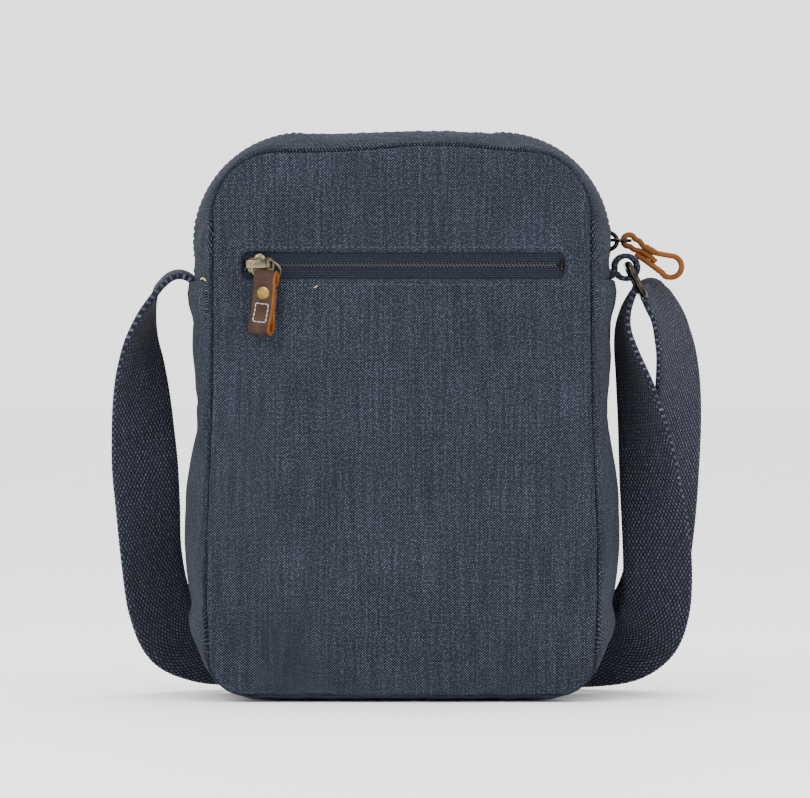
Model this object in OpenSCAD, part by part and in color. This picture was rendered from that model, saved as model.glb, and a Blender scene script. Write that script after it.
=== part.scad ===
// Small canvas messenger bag (crossbody size) on a webbing shoulder strap.
// Frame: +X to the wearer's right as the rear face is looked at, +Y from the rear face to the front
// pocket, +Z up. The origin is the middle of the flat base. Millimetres.

/* [Bag body] */
// Half width of the gusset crown near the base
crown_half_low = 95.5; // [90:0.5:110]
// Half width of the gusset crown below the top corners
crown_half_high = 93; // [86:1:104]
// Height of the gusset crown, where the main zip runs
crown_h = 257; // [240:1:300]
// Radius of the crown at the top corners, which the main zip follows
crown_top_r = 50; // [40:1:60]
// Radius of the crown at the bottom corners
crown_low_r = 38; // [32:1:44]
// How far the panel seams lie inside the crown at the sides and top
seam_inset = 7.5; // [5:0.5:12]
// Radius of the panels at the top corners
seam_top_r = 29; // [20:1:36]
// Depth from rear panel to front panel
body_d = 70; // [60:1:90]
// Thickness of canvas with its interlining
wall = 2.4; // [1.6:0.1:4]
// Height at which the lower gusset meets the zip gusset
split_z = 189.5; // [170:0.5:200]

/* [Zips] */
// Width of each main zip tape that shows
tape_w = 8; // [6:0.5:12]
// Width of a closed zip chain
chain_w = 6; // [5:0.5:8]
// Length of the rear zip window
rear_zip_l = 144.5; // [100:0.5:150]
// Middle of the rear zip along X
rear_zip_x = 0.75; // [-4:0.25:4]
// Height of the rear zip chain
rear_zip_z = 197; // [170:1:205]
// Height of a zip window
window_h = 11; // [9:0.5:14]
// Length of the front pocket's zip window
front_zip_l = 118; // [90:1:124]
// Height of the front pocket's zip chain
front_zip_z = 136; // [110:1:150]

/* [Front pocket] */
// Width of the front patch pocket
pocket_w = 150; // [120:2:156]
// Height of the front patch pocket
pocket_h = 138; // [110:2:160]
// Height of the patch pocket's lower edge
pocket_z = 20; // [14:1:30]
// How far the patch pocket stands out
pocket_d = 9; // [7:0.5:14]

/* [Strap] */
// Width of the webbing
strap_w = 32; // [25:1:38]
// Thickness of the webbing
strap_t = 2.5; // [1.6:0.1:3]
// Height of the swing axis through both anchors
swing_z = 190; // [180:1:200]
// Radius about the swing axis inside which the webbing stays with the bag
swing_r = 23.2; // [23:0.1:25]
// Radius of the ring's and adjuster's rod
rod_r = 1.65; // [1.2:0.05:2]

/* [Hidden] */

hd = body_d / 2;
eps = 0.01;
hull_fn = 40;
crown_flat = 12;            // half depth over which the gusset crown stays level
zip_half = chain_w / 2;
tape_edge = zip_half + tape_w;
gusset_y = hd - wall;
zip_sunk = 0.9;             // how far the main chain's face lies inside the gusset's
lining_t = 0.8;
pouch_t = 5.2;
lining_y = hd - wall - 1 - pouch_t;   // the rear lining lies behind the zip tapes and the pouch
half_t = strap_t / 2;
half_w = strap_w / 2;

canvas = "#39475a";
webbing = "#252c3f";
tape = "#2b3448";
brass = "#7d6b4f";
leather = "#5c3a2a";
lining = "#8a8578";

// ---------- shared shapes ----------

// A round bar along Y, one corner of a section of the bag.
module corner_bar(x, y, z, r, l) {
    translate([x, y, z]) rotate([90, 0, 0]) cylinder(r = r, h = l, center = true, $fn = hull_fn);
}

// The bag's outer form, grown by g: panel outlines at both ends, longer ends out, and the fuller crown between.
module form(g = 0, longer = 0) {
    in = seam_inset;
    low_r = crown_low_r - 12;
    rim = 1.2;
    end_y = hd + min(g, 0) + longer - rim / 2;
    hull() for (s = [-1, 1]) {
        for (y = [-end_y, end_y]) {
            corner_bar(s * (crown_half_low - in - low_r), y, low_r, low_r + g, rim);
            corner_bar(s * (crown_half_high - in - seam_top_r), y, crown_h - in - seam_top_r, seam_top_r + g, rim);
        }
        corner_bar(s * (crown_half_low - crown_low_r), 0, crown_low_r, crown_low_r + g, 2 * crown_flat);
        corner_bar(s * (crown_half_high - crown_top_r), 0, crown_h - crown_top_r, crown_top_r + g, 2 * crown_flat);
    }
}

module shell(outer = 0, thick = wall) {
    difference() {
        form(outer);
        form(outer - thick, 0.4);
    }
}

// Everything between two depths and two heights.
module slab(y0, y1, z0 = -20, z1 = 300) {
    translate([-150, y0, z0]) cube([300, y1 - y0, z1 - z0]);
}

// Extrudes a drawing of the X-Z plane from depth y0 to y1.
module upright(y0, y1) {
    translate([0, y1, 0]) rotate([90, 0, 0]) linear_extrude(y1 - y0) children();
}

module rounded(w, h, r) {
    hull() for (x = [-1, 1], z = [-1, 1]) translate([x * (w / 2 - r), z * (h / 2 - r)]) circle(r, $fn = hull_fn);
}

module block(x0, x1, y0, y1, z0, z1) {
    translate([x0, y0, z0]) cube([x1 - x0, y1 - y0, z1 - z0]);
}

function unit(v) = v / norm(v);
function side(p, i) = unit(p[min(i + 1, len(p) - 1)] - p[max(i - 1, 0)]);
function offset_line(p, d) = [for (i = [0:len(p) - 1]) p[i] + d * [-side(p, i)[1], side(p, i)[0]]];
function backward(p) = [for (i = [len(p) - 1:-1:0]) p[i]];
function arc(c, r, a0, a1, n) = [for (i = [0:n]) c + r * [cos(a0 + (a1 - a0) * i / n), sin(a0 + (a1 - a0) * i / n)]];

// A strip of thickness t along a line of points, as a flat outline.
module strip(p, t) {
    polygon(concat(offset_line(p, t / 2), backward(offset_line(p, -t / 2))));
}

// A smooth curve through stations, each [place, direction of the webbing's outer edge].
function spline(a, b, c, d, u) =
    0.5 * ((2 * b) + (c - a) * u + (2 * a - 5 * b + 4 * c - d) * u * u + (3 * b - a - 3 * c + d) * u * u * u);
function station(s, k, j) = s[min(max(k, 0), len(s) - 1)][j];
function along(s, n, j) = [
    for (k = [0:len(s) - 2], i = [0:n - 1])
        spline(station(s, k - 1, j), station(s, k, j), station(s, k + 1, j), station(s, k + 2, j), i / n),
    s[len(s) - 1][j]
];

// Flat webbing swept through the stations, with n sections between two of them.
module webbing_sweep(s, n = 2) {
    place = along(s, n, 0);
    edge = along(s, n, 1);
    last = len(place) - 1;
    points = [
        for (i = [0:last])
            let (run = unit(place[min(i + 1, last)] - place[max(i - 1, 0)]),
                 w = unit(edge[i] - (edge[i] * run) * run),
                 t = cross(run, w))
                for (c = [[1, 1], [1, -1], [-1, -1], [-1, 1]]) place[i] + c[0] * half_w * w + c[1] * half_t * t
    ];
    walls = [
        for (i = [0:last - 1], k = [0:3])
            let (a = 4 * i + k, b = 4 * i + (k + 1) % 4)
                each [[a, b, b + 4], [a, b + 4, a + 4]]
    ];
    polyhedron(points, concat(walls, [[3, 2, 1, 0], [4 * last, 4 * last + 1, 4 * last + 2, 4 * last + 3]]));
}

module swing_disc(r) {
    translate([0, 0, swing_z]) rotate([0, 90, 0]) cylinder(r = r, h = 400, center = true, $fn = 96);
}

// ---------- bag body ----------

module back_panel() {
    color(canvas) difference() {
        intersection() {
            form();
            slab(-hd - 1, -gusset_y);
        }
        zip_window(rear_zip_x, rear_zip_z, rear_zip_l, -hd - 1, -gusset_y + 1);
    }
}

module zip_window(x, z, l, y0, y1) {
    upright(y0, y1) translate([x, z]) rounded(l, window_h, 2);
}

module front_panel() {
    color(canvas) intersection() {
        form();
        slab(gusset_y, hd + 1);
    }
}

module lower_gusset() {
    color(canvas) intersection() {
        shell();
        slab(-gusset_y, gusset_y, -20, split_z);
    }
}

module top_gusset(s) {
    color(canvas) difference() {
        intersection() {
            form();
            slab(min(s * gusset_y, s * tape_edge), max(s * gusset_y, s * tape_edge), split_z);
        }
        form(-wall, 0.4);
    }
}

module main_tape(s) {
    color(tape) intersection() {
        shell(-zip_sunk - 0.5, wall - zip_sunk - 0.5);
        slab(min(s * tape_edge, s * zip_half), max(s * tape_edge, s * zip_half), split_z);
    }
}

module main_coil(s) {
    color(tape) intersection() {
        shell(-zip_sunk, wall - zip_sunk);
        slab(min(0, s * zip_half), max(0, s * zip_half), split_z + 3);
    }
}

module main_zip_stops() {
    color(brass) intersection() {
        shell(-zip_sunk, wall - zip_sunk);
        slab(-zip_half, zip_half, split_z, split_z + 2.8);
    }
}

// Canvas patch over the gusset at each strap anchor.
tab_half_y = 17;
tab_low = 170;
module strap_tab(s) {
    color(canvas) intersection() {
        shell(1.6, 1.6);
        translate([s > 0 ? 0 : -150, -tab_half_y, tab_low]) cube([150, 2 * tab_half_y, split_z - tab_low]);
    }
}

// ---------- strap anchors ----------

anchor_line = [
    [-92, 187], [-95, 189.6], [-98, 191.4], [-101, 192.2], [-104.4, 191.4], [-107.6, 188.9],
    [-110.2, 185.2], [-112.6, 180.5], [-114.6, 175.5], [-116.2, 170], [-117, 165]
];
module strap_anchor_left() {
    color(webbing) difference() {
        intersection() {
            upright(-half_w, half_w) strip(anchor_line, strap_t);
            swing_disc(swing_r);
        }
        form(1.6);
    }
}

loop_c = [101.7, 196];      // centre of the loop that holds the ring
ring_top = [102.9, 196.4];  // the ring's upper rod, inside that loop
ring_low = [109.4, 183.9];  // its lower rod, inside the webbing
ring_half = half_w + 2.2;   // from the middle to the centre of each side rod
loop_r = 5.2;

// Narrow webbing folded round the ring's upper rod and sewn into the seam.
module ring_loop() {
    loop_line = concat(
        [[91, 191.2], [95, 190.6]],
        arc(loop_c, loop_r, -110, 110, 16),
        [[97.2, 199.2], [96.6, 196.2], [94.5, 193.4], [91, 193.6]]
    );
    color(canvas) difference() {
        upright(-half_w, half_w) strip(loop_line, 2.2);
        form(1.6);
    }
}

module rod(a, b, r) {
    d = b - a;
    translate(a) rotate([0, acos(d[2] / norm(d)), atan2(d[1], d[0])]) cylinder(r = r, h = norm(d), $fn = 32);
}

module ball(p, r) {
    translate(p) sphere(r = r, $fn = 32);
}

module strap_ring() {
    fall = ring_low - ring_top;
    color(brass) translate([ring_top[0], 0, ring_top[1]]) rotate([0, atan2(-fall[1], fall[0]), 0])
        link_shape(norm(fall), 2 * ring_half, rod_r);
}

// The strap where it is looped over the ring's lower rod.
wrap_r = rod_r + 0.1 + half_t;
wrap_line = concat(
    [[100, 164], [99.9, 170], [101, 174.6], [102.9, 178.4], [105.2, 181.4]],
    arc(ring_low, wrap_r, 190, -12, 14),
    [[114, 180.5], [117.2, 176], [120.2, 170], [121.8, 164]]
);
module strap_wrap_right() {
    color(webbing) intersection() {
        upright(-half_w, half_w) strip(wrap_line, strap_t);
        swing_disc(swing_r);
    }
}

// ---------- zips on the flat faces ----------

// One zip seen from its own outer face. y is the face, s points outwards along Y.
tape_t = 1;
module tape_strip(x, z, l, y, s, up) {
    in = y - s * wall;
    block(x - l / 2 - 5, x + l / 2 + 5, min(in, in - s * tape_t), max(in, in - s * tape_t),
          up > 0 ? z + eps : z - 12, up > 0 ? z + 12 : z - eps);
}

coil_h = 3.6;
module flat_coil(x, z, l, y, s) {
    in = y - s * wall;
    block(x - l / 2 + 2, x + l / 2 - 2, min(in, in + s * 1.6), max(in, in + s * 1.6), z - coil_h / 2, z + coil_h / 2);
}

module flat_stops(x, z, l, y, s) {
    in = y - s * wall;
    for (e = [-1, 1])
        translate([x + e * (l / 2 - 1.1), in + s * 0.9, z]) cube([1.6, 1.8, 5], center = true);
}

module rear_tape(up) {
    color(tape) tape_strip(rear_zip_x, rear_zip_z, rear_zip_l, -hd, -1, up);
}

module rear_coil() {
    color(tape) flat_coil(rear_zip_x, rear_zip_z, rear_zip_l, -hd, -1);
}

module rear_zip_stops() {
    color(brass) flat_stops(rear_zip_x, rear_zip_z, rear_zip_l, -hd, -1);
}

pocket_face = hd + pocket_d;
module front_tape(up) {
    color(tape) tape_strip(0, front_zip_z, front_zip_l, pocket_face, 1, up);
}

module front_coil() {
    color(tape) flat_coil(0, front_zip_z, front_zip_l, pocket_face, 1);
}

module front_zip_stops() {
    color(brass) flat_stops(0, front_zip_z, front_zip_l, pocket_face, 1);
}

module front_pocket() {
    mid = pocket_z + pocket_h / 2;
    color(canvas) difference() {
        upright(hd, pocket_face) translate([0, mid]) rounded(pocket_w, pocket_h, 16);
        upright(hd - 1, pocket_face - wall) translate([0, mid]) rounded(pocket_w - 2 * wall, pocket_h - 2 * wall, 14);
        zip_window(0, front_zip_z, front_zip_l, pocket_face - wall - 1, pocket_face + 1);
    }
}

// ---------- inside ----------

module rear_pouch() {
    y0 = -gusset_y + 1;
    color(lining) difference() {
        block(-76, 76, y0, y0 + pouch_t, 62, 184);
        block(-75.2, 75.2, y0 + 0.8, y0 + pouch_t - 0.8, 62.8, 190);
    }
}

module lining_back() {
    color(lining) intersection() {
        form(-wall - 0.01);
        slab(-lining_y, -lining_y + lining_t);
    }
}

module lining_front() {
    color(lining) intersection() {
        form(-wall - 0.01);
        slab(gusset_y - lining_t, gusset_y);
    }
}

module lining_gusset() {
    color(lining) difference() {
        intersection() {
            shell(-wall - 0.01, lining_t);
            slab(-lining_y + lining_t, gusset_y - lining_t);
        }
        slab(-tape_edge, tape_edge, split_z);
    }
}

module inner_slip_pocket() {
    y1 = gusset_y - lining_t;
    color(lining) difference() {
        block(-60, 60, y1 - 4, y1, 60, 150);
        block(-59.2, 59.2, y1 - 3.2, y1 + 1, 60.8, 151);
    }
}

// ---------- sliders, links and leather pulls ----------

slider_l = 12;
slider_w = 7.4;
slider_gap = 0.2;           // between a slider and the chain's face
link_r = 0.6;

// A slider on a level chain: +X along the chain, +Z out of the face, origin on the underside.
// Its crown is a closed bridge whose middle, where the link's rod lies, is at p = [across the tunnel, height].
module slider_shape(p, turn, crown_l) {
    linear_extrude(2) rounded(slider_l, slider_w, 2.6);
    rotate([0, 0, turn]) rotate([90, 0, 0]) linear_extrude(crown_l, center = true) difference() {
        union() {
            translate(p) rounded(5.6, 4.8, 2.2);
            translate([p[0] - 2, 1]) square([4, p[1] - 1]);
        }
        translate(p) rounded(3.2, 2.4, 1.15);
    }
}

// A wire link: its first rod on the Y axis, length l along X, width w.
module link_shape(l, w, r) {
    c = [[0, -w / 2, 0], [l, -w / 2, 0], [l, w / 2, 0], [0, w / 2, 0]];
    for (i = [0:3]) {
        rod(c[i], c[(i + 1) % 4], r);
        ball(c[i], r);
    }
}

// The doubled leather strip of a pull hanging down: eye, waist with rivet, and open end loop.
pull_eye = 2.7;
pull_w = 10.8;
pull_t = 1.8;
pull_gap = 0.05;            // half of the gap between the two layers
rivet_at = -9;
// The strip's shape from the side: p[0] out of the face, p[1] down the pull to the end loop's centre.
function pull_line(reach, end_r) =
    let (in = pull_t / 2 + pull_gap)
    concat(
        arc([0, 0], pull_eye, -70, 250, 18),
        [[-in, -6], [-in, end_r + 4 - reach], [-in - 0.4, end_r + 2 - reach]],
        arc([0, -reach], end_r, 150, 390, 16),
        [[in + 0.4, end_r + 2 - reach], [in, end_r + 4 - reach], [in, -6.4]]
    );
module pull_shape(reach, end_r) {
    translate([0, pull_w / 2, 0]) rotate([90, 0, 0]) linear_extrude(pull_w) strip(pull_line(reach, end_r), pull_t);
}
module rivet_shape() {
    for (s = [-1, 1])
        translate([s * (pull_t + pull_gap), 0, rivet_at]) rotate([0, s * 90, 0]) {
            cylinder(r = 2.95, h = 0.5, $fn = 48);
            translate([0, 0, 0.5]) cylinder(r = 2, h = 0.35, $fn = 48);
        }
}

link_l = 7;
link_w = pull_w + 2.2;      // wide enough to pass round the pull
flat_crown_z = 4.9;         // height of the links' rods above the undersides of the two flat sliders
main_crown_z = 3.6;
flat_crown_l = 6;
main_crown_l = 2.6;
flat_reach = 21.5;
flat_end_r = 2.9;
main_reach = 22.3;
main_end_r = 4.9;
off_middle = 0.6;           // how far above the middle of its chain a flat link hangs

// Rear zip, its slider closed at the left end.
rear_slider_x = -63.5;
rear_face = -hd + wall - 1.6 - slider_gap;
rear_hinge = [-62, rear_face - flat_crown_z, rear_zip_z + off_middle];
module rear_slider() {
    color(brass) translate([rear_slider_x, rear_face, rear_zip_z]) rotate([90, 0, 0])
        slider_shape([off_middle, flat_crown_z], 90, flat_crown_l);
}
module rear_link() {
    color(brass) translate(rear_hinge) rotate([0, 90, 90]) link_shape(link_l, link_w, link_r);
}
module place_rear_pull() {
    translate(rear_hinge - [0, 0, link_l]) rotate([0, 0, -90]) children();
}
module rear_pull() {
    color(leather) place_rear_pull() pull_shape(flat_reach, flat_end_r);
}
module rear_pull_rivet() {
    color(brass) place_rear_pull() rivet_shape();
}

// Front zip, the same parts on the front pocket, closed at the same side of the wearer.
front_slider_x = 50;
front_face = pocket_face - wall + 1.6 + slider_gap;
front_hinge = [48.5, front_face + flat_crown_z, front_zip_z + off_middle];
module front_slider() {
    color(brass) translate([front_slider_x, front_face, front_zip_z]) rotate([90, 0, 180])
        slider_shape([off_middle, flat_crown_z], 90, flat_crown_l);
}
module front_link() {
    color(brass) translate(front_hinge) rotate([0, 90, 90]) link_shape(link_l, link_w, link_r);
}
module place_front_pull() {
    translate(front_hinge - [0, 0, link_l]) rotate([0, 0, 90]) children();
}
module front_pull() {
    color(leather) place_front_pull() pull_shape(flat_reach, flat_end_r);
}
module front_pull_rivet() {
    color(brass) place_front_pull() rivet_shape();
}

// Main zip, closed at the lower right end. The slider rides the crown's top corner arc.
main_slider_z = 208.5;
main_face = crown_half_high - zip_sunk + slider_gap;
main_hinge = [main_face + main_crown_z, 0, main_slider_z];
pull_slope = 32;
module main_slider() {
    color(brass) translate([main_face, 0, main_slider_z]) rotate([0, 90, 0])
        slider_shape([0, main_crown_z], 0, main_crown_l);
}
module main_link() {
    color(brass) translate(main_hinge) link_shape(link_l, link_w, link_r);
}
module place_main_pull() {
    translate(main_hinge + [link_l, 0, 0]) rotate([0, pull_slope - 90, 0]) children();
}
module main_pull() {
    color(leather) place_main_pull() pull_shape(main_reach, main_end_r);
}
module main_pull_rivet() {
    color(brass) place_main_pull() rivet_shape();
}

// ---------- shoulder strap ----------

// Stations of the webbing: place of its middle, and the direction from the middle to its outer edge.
left_leg = [
    [[-111, 0, 184], [0, -1, 0]],
    [[-115, 0.5, 174], [-0.2, -0.98, 0]],
    [[-117.2, 2, 162], [-0.47, -0.88, 0]],
    [[-117.6, 4, 150], [-0.63, -0.78, 0]],
    [[-117.2, 6.5, 137], [-0.77, -0.64, 0]],
    [[-116.5, 9.5, 122], [-0.87, -0.5, 0]],
    [[-115.5, 12, 105], [-0.93, -0.36, 0]],
    [[-114.4, 15, 87], [-0.9, -0.42, -0.06]],
    [[-113, 20, 64], [-0.83, -0.5, -0.2]],
    [[-109.6, 28, 42], [-0.78, -0.3, -0.5]],
    [[-103, 38.5, 26.5], [-0.6, 0, -0.76]],
    [[-92, 50, 19.4], [-0.34, 0.1, -0.92]],
    [[-76, 61, 17.6], [-0.1, 0.05, -1]],
    [[-60, 69, 17.4], [0, 0, -1]],
    [[-48, 75.5, 17.8], [0, 0, -1]],
    [[-38, 79.6, 18.6], [0, 0, -1]]
];
run_y = 80;      // how far behind the bag's middle the adjuster stands
run_z = 20.6;    // height of the webbing's middle there, as the adjuster is wider than the webbing
right_front_leg = [
    [[102.6, 0, 179], [0.1, -1, 0]],
    [[99.8, 0, 169], [0.25, -0.97, 0]],
    [[100.6, 0.5, 157], [0.37, -0.93, 0]],
    [[104, 1, 143], [0.52, -0.85, 0]],
    [[107.3, 2, 128.5], [0.64, -0.77, 0]],
    [[110.3, 3, 112.5], [0.76, -0.65, 0]],
    [[112.4, 5, 95], [0.87, -0.5, 0]],
    [[114.4, 8, 77], [0.95, -0.3, 0]],
    [[115.4, 13, 58], [0.985, -0.15, -0.08]],
    [[114.6, 20, 41], [0.95, -0.05, -0.3]],
    [[110, 29, 27.5], [0.8, 0.1, -0.6]],
    [[100.5, 39.5, 19.8], [0.5, 0.15, -0.85]],
    [[87, 49.6, 17.6], [0.2, 0.08, -0.97]],
    [[72, 59, 17.2], [0.05, 0, -1]],
    [[56, 68, 17.6], [0, 0, -1]],
    [[44, 74.6, 18.4], [0, 0, -1]]
];
right_rear_leg = [
    [[116.6, 0, 179], [0.3, 0.95, 0]],
    [[121, 2, 169], [0.47, 0.88, 0]],
    [[123.6, 5, 156], [0.55, 0.83, 0]],
    [[124.3, 9.5, 140], [0.64, 0.77, 0]],
    [[123, 14.6, 122], [0.73, 0.68, 0]],
    [[121.4, 20.6, 102], [0.8, 0.6, 0]],
    [[119, 27, 80], [0.86, 0.5, -0.06]],
    [[115.6, 34.6, 58], [0.87, 0.42, -0.25]],
    [[110, 42, 40.5], [0.76, 0.38, -0.52]],
    [[100, 50.6, 28], [0.52, 0.26, -0.81]],
    [[87.5, 58.4, 21], [0.24, 0.1, -0.96]],
    [[73, 66.8, 18.2], [0.05, 0, -1]],
    [[58, 75, 18], [0, 0, -1]],
    [[46, 81.4, 18.8], [0, 0, -1]]
];

module swept_leg(s) {
    color(webbing) difference() {
        webbing_sweep(s);
        swing_disc(swing_r + 0.4);
    }
}

module strap_leg_left() {
    swept_leg(left_leg);
}

module strap_leg_right_front() {
    swept_leg(right_front_leg);
}

module strap_leg_right_rear() {
    swept_leg(right_rear_leg);
}

// ---------- adjuster, on the strap behind the bag ----------

// Drawn in plan, X along the strap and Y away from the bag, then stood up on edge.
module standing(w = strap_w) {
    translate([0, run_y, run_z - w / 2]) linear_extrude(w) children();
}

frame_l = 27;
frame_w = strap_w + 7.4;
module adjuster_frame() {
    top = run_z + frame_w / 2 - rod_r;
    low = run_z - frame_w / 2 + rod_r;
    color(brass) {
        for (x = [-frame_l / 2, 0, frame_l / 2]) rod([x, run_y, low], [x, run_y, top], rod_r);
        for (z = [low, top]) rod([-frame_l / 2, run_y, z], [frame_l / 2, run_y, z], rod_r);
        for (x = [-frame_l / 2, frame_l / 2], z = [low, top]) ball([x, run_y, z], rod_r);
    }
}

// The strap woven under the outer bars and over the middle bar, which also holds the sewn end.
weave_half = [[24, 2.9], [17, 2.9], [13.5, 2.9], [10.9, 2.3], [9, 0.4], [7.4, -2.4], [4.4, -4.6], [0, -5.3]];
weave_line = concat(weave_half, [for (i = [len(weave_half) - 2:-1:0]) [-weave_half[i][0], weave_half[i][1]]]);
bar_gap = 0.2;
thin_t = 2;
module adjuster_weave() {
    color(webbing) standing() strip(weave_line, thin_t);
}

end_line = concat(
    [[24, 7.3], [15, 7.3], [9, 6.6], [5, 5.3]],
    arc([0, 0], rod_r + bar_gap + thin_t / 2, 78, 332, 14)
);
module strap_end_loop() {
    color(webbing) standing() strip(end_line, thin_t);
}

// The straight webbing on both sides, which gets longer and shorter as the adjuster slides.
module strap_take_up_left() {
    color(webbing) standing() strip([[-24.3, 2.9], [-26, 2.9], [-31, 2.4], [-37.2, 0.2]], thin_t);
}

module strap_take_up_right() {
    color(webbing) standing() strip([[24.3, 2.9], [26, 2.9], [34, 0.4], [43.1, -4.5]], thin_t);
}

module strap_end_take_up() {
    color(webbing) standing() strip([[24.3, 7.3], [26, 7.3], [35, 6], [45.1, 2.2]], thin_t);
}

back_panel();
front_panel();
lower_gusset();
top_gusset(-1);  // top_gusset_back
top_gusset(1);  // top_gusset_front
main_tape(-1);  // main_tape_back
main_tape(1);  // main_tape_front
main_coil(-1);  // main_coil_back
main_coil(1);  // main_coil_front
main_zip_stops();
strap_tab(-1);  // strap_tab_left
strap_tab(1);  // strap_tab_right
strap_anchor_left();
ring_loop();
strap_ring();
strap_wrap_right();
rear_tape(1);  // rear_tape_upper
rear_tape(-1);  // rear_tape_lower
rear_coil();
rear_zip_stops();
rear_pouch();
lining_back();
lining_front();
lining_gusset();
inner_slip_pocket();
front_pocket();
front_tape(1);  // front_tape_upper
front_tape(-1);  // front_tape_lower
front_coil();
front_zip_stops();
main_slider();
main_link();
main_pull();
main_pull_rivet();
rear_slider();
rear_link();
rear_pull();
rear_pull_rivet();
front_slider();
front_link();
front_pull();
front_pull_rivet();
strap_leg_left();
strap_take_up_left();
strap_take_up_right();
strap_leg_right_front();
strap_leg_right_rear();
strap_end_take_up();
adjuster_frame();
adjuster_weave();
strap_end_loop();
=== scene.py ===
import math

import bpy
import numpy as np
from mathutils import Matrix, Vector, geometry


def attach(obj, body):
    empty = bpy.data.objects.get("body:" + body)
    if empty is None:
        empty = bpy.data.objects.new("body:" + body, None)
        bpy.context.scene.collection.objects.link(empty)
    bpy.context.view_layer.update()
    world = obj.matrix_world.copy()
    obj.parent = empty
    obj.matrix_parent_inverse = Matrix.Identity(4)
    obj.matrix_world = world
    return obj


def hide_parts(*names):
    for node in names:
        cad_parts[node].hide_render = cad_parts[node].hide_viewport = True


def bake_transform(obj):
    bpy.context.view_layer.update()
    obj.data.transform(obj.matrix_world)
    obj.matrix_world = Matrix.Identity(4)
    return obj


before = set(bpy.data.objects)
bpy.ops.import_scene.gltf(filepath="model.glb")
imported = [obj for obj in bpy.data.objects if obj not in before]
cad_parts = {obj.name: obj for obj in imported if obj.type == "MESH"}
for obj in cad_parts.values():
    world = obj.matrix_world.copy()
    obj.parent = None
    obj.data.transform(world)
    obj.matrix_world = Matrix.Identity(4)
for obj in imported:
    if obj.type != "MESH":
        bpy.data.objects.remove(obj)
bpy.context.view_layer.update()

MM = 0.001
scene = bpy.context.scene
pi = math.pi


# ---------- camera ----------

def aim(obj, target):
    obj.rotation_mode = "QUATERNION"
    obj.rotation_quaternion = (Vector(target) - obj.location).to_track_quat("-Z", "Y")


cam_data = bpy.data.cameras.new("camera")
cam_data.sensor_width = 36
cam_data.lens = 316
cam_data.clip_start, cam_data.clip_end = 0.1, 20
camera = bpy.data.objects.new("camera", cam_data)
scene.collection.objects.link(camera)
TARGET = Vector((0.00135, -0.035, 0.1368))
RISE = math.radians(1.2)
camera.location = TARGET + 3.2 * Vector((0, -math.cos(RISE), math.sin(RISE)))
aim(camera, TARGET)
scene.camera = camera


# ---------- materials ----------

class Net:
    """A material's nodes, built from plain expressions."""

    def __init__(self, name):
        self.mat = bpy.data.materials.new(name)
        self.mat.use_nodes = True
        self.tree = self.mat.node_tree
        self.tree.nodes.clear()
        self.out = self.add("ShaderNodeOutputMaterial")
        self.shader = self.add("ShaderNodeBsdfPrincipled")
        self.link(self.shader.outputs[0], self.out.inputs["Surface"])

    def add(self, kind, **settings):
        node = self.tree.nodes.new(kind)
        for k, v in settings.items():
            setattr(node, k, v)
        return node

    def link(self, a, b):
        self.tree.links.new(a, b)

    def feed(self, socket, value):
        if isinstance(value, bpy.types.NodeSocket):
            self.link(value, socket)
        else:
            socket.default_value = value

    def op(self, operation, *values):
        node = self.add("ShaderNodeMath", operation=operation)
        for i, v in enumerate(values):
            self.feed(node.inputs[i], v)
        return node.outputs[0]

    def uv(self):
        node = self.add("ShaderNodeUVMap", uv_map="UVMap")
        parts = self.add("ShaderNodeSeparateXYZ")
        self.link(node.outputs[0], parts.inputs[0])
        return parts.outputs[0], parts.outputs[1]

    def place(self, x, y, z=0.0):
        node = self.add("ShaderNodeCombineXYZ")
        for i, v in enumerate((x, y, z)):
            self.feed(node.inputs[i], v)
        return node.outputs[0]

    def object_place(self):
        return self.add("ShaderNodeTexCoord").outputs["Object"]

    def noise(self, vector, scale, detail=3.0, roughness=0.55):
        node = self.add("ShaderNodeTexNoise")
        self.link(vector, node.inputs["Vector"])
        node.inputs["Scale"].default_value = scale
        node.inputs["Detail"].default_value = detail
        node.inputs["Roughness"].default_value = roughness
        return node.outputs[0]

    def spread(self, value, low, high, a=0.0, b=1.0):
        node = self.add("ShaderNodeMapRange", interpolation_type="SMOOTHSTEP")
        self.feed(node.inputs["Value"], value)
        for k, v in zip(("From Min", "From Max", "To Min", "To Max"), (low, high, a, b)):
            self.feed(node.inputs[k], v)
        return node.outputs[0]

    def mix(self, factor, a, b, blend="MIX"):
        node = self.add("ShaderNodeMix", data_type="RGBA", blend_type=blend)
        self.feed(node.inputs[0], factor)
        for socket, v in zip((node.inputs[6], node.inputs[7]), (a, b)):
            self.feed(socket, v if isinstance(v, bpy.types.NodeSocket) else (*v, 1.0))
        return node.outputs[2]

    def wave(self, value, pitch, shift=0.0):
        return self.op("SINE", self.op("MULTIPLY_ADD", value, 2 * pi / pitch, shift))

    def bump(self, height, distance, strength=1.0, before=None):
        node = self.add("ShaderNodeBump")
        self.link(height, node.inputs["Height"])
        node.inputs["Distance"].default_value = distance
        node.inputs["Strength"].default_value = strength
        if before is not None:
            self.link(before, node.inputs["Normal"])
        return node.outputs[0]

    def set(self, color=None, normal=None, **values):
        if color is not None:
            plain = not isinstance(color, bpy.types.NodeSocket)
            self.feed(self.shader.inputs["Base Color"], (*color, 1.0) if plain else color)
        if normal is not None:
            self.link(normal, self.shader.inputs["Normal"])
        for k, v in values.items():
            self.shader.inputs[k.replace("_", " ")].default_value = v
        return self.mat


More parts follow.
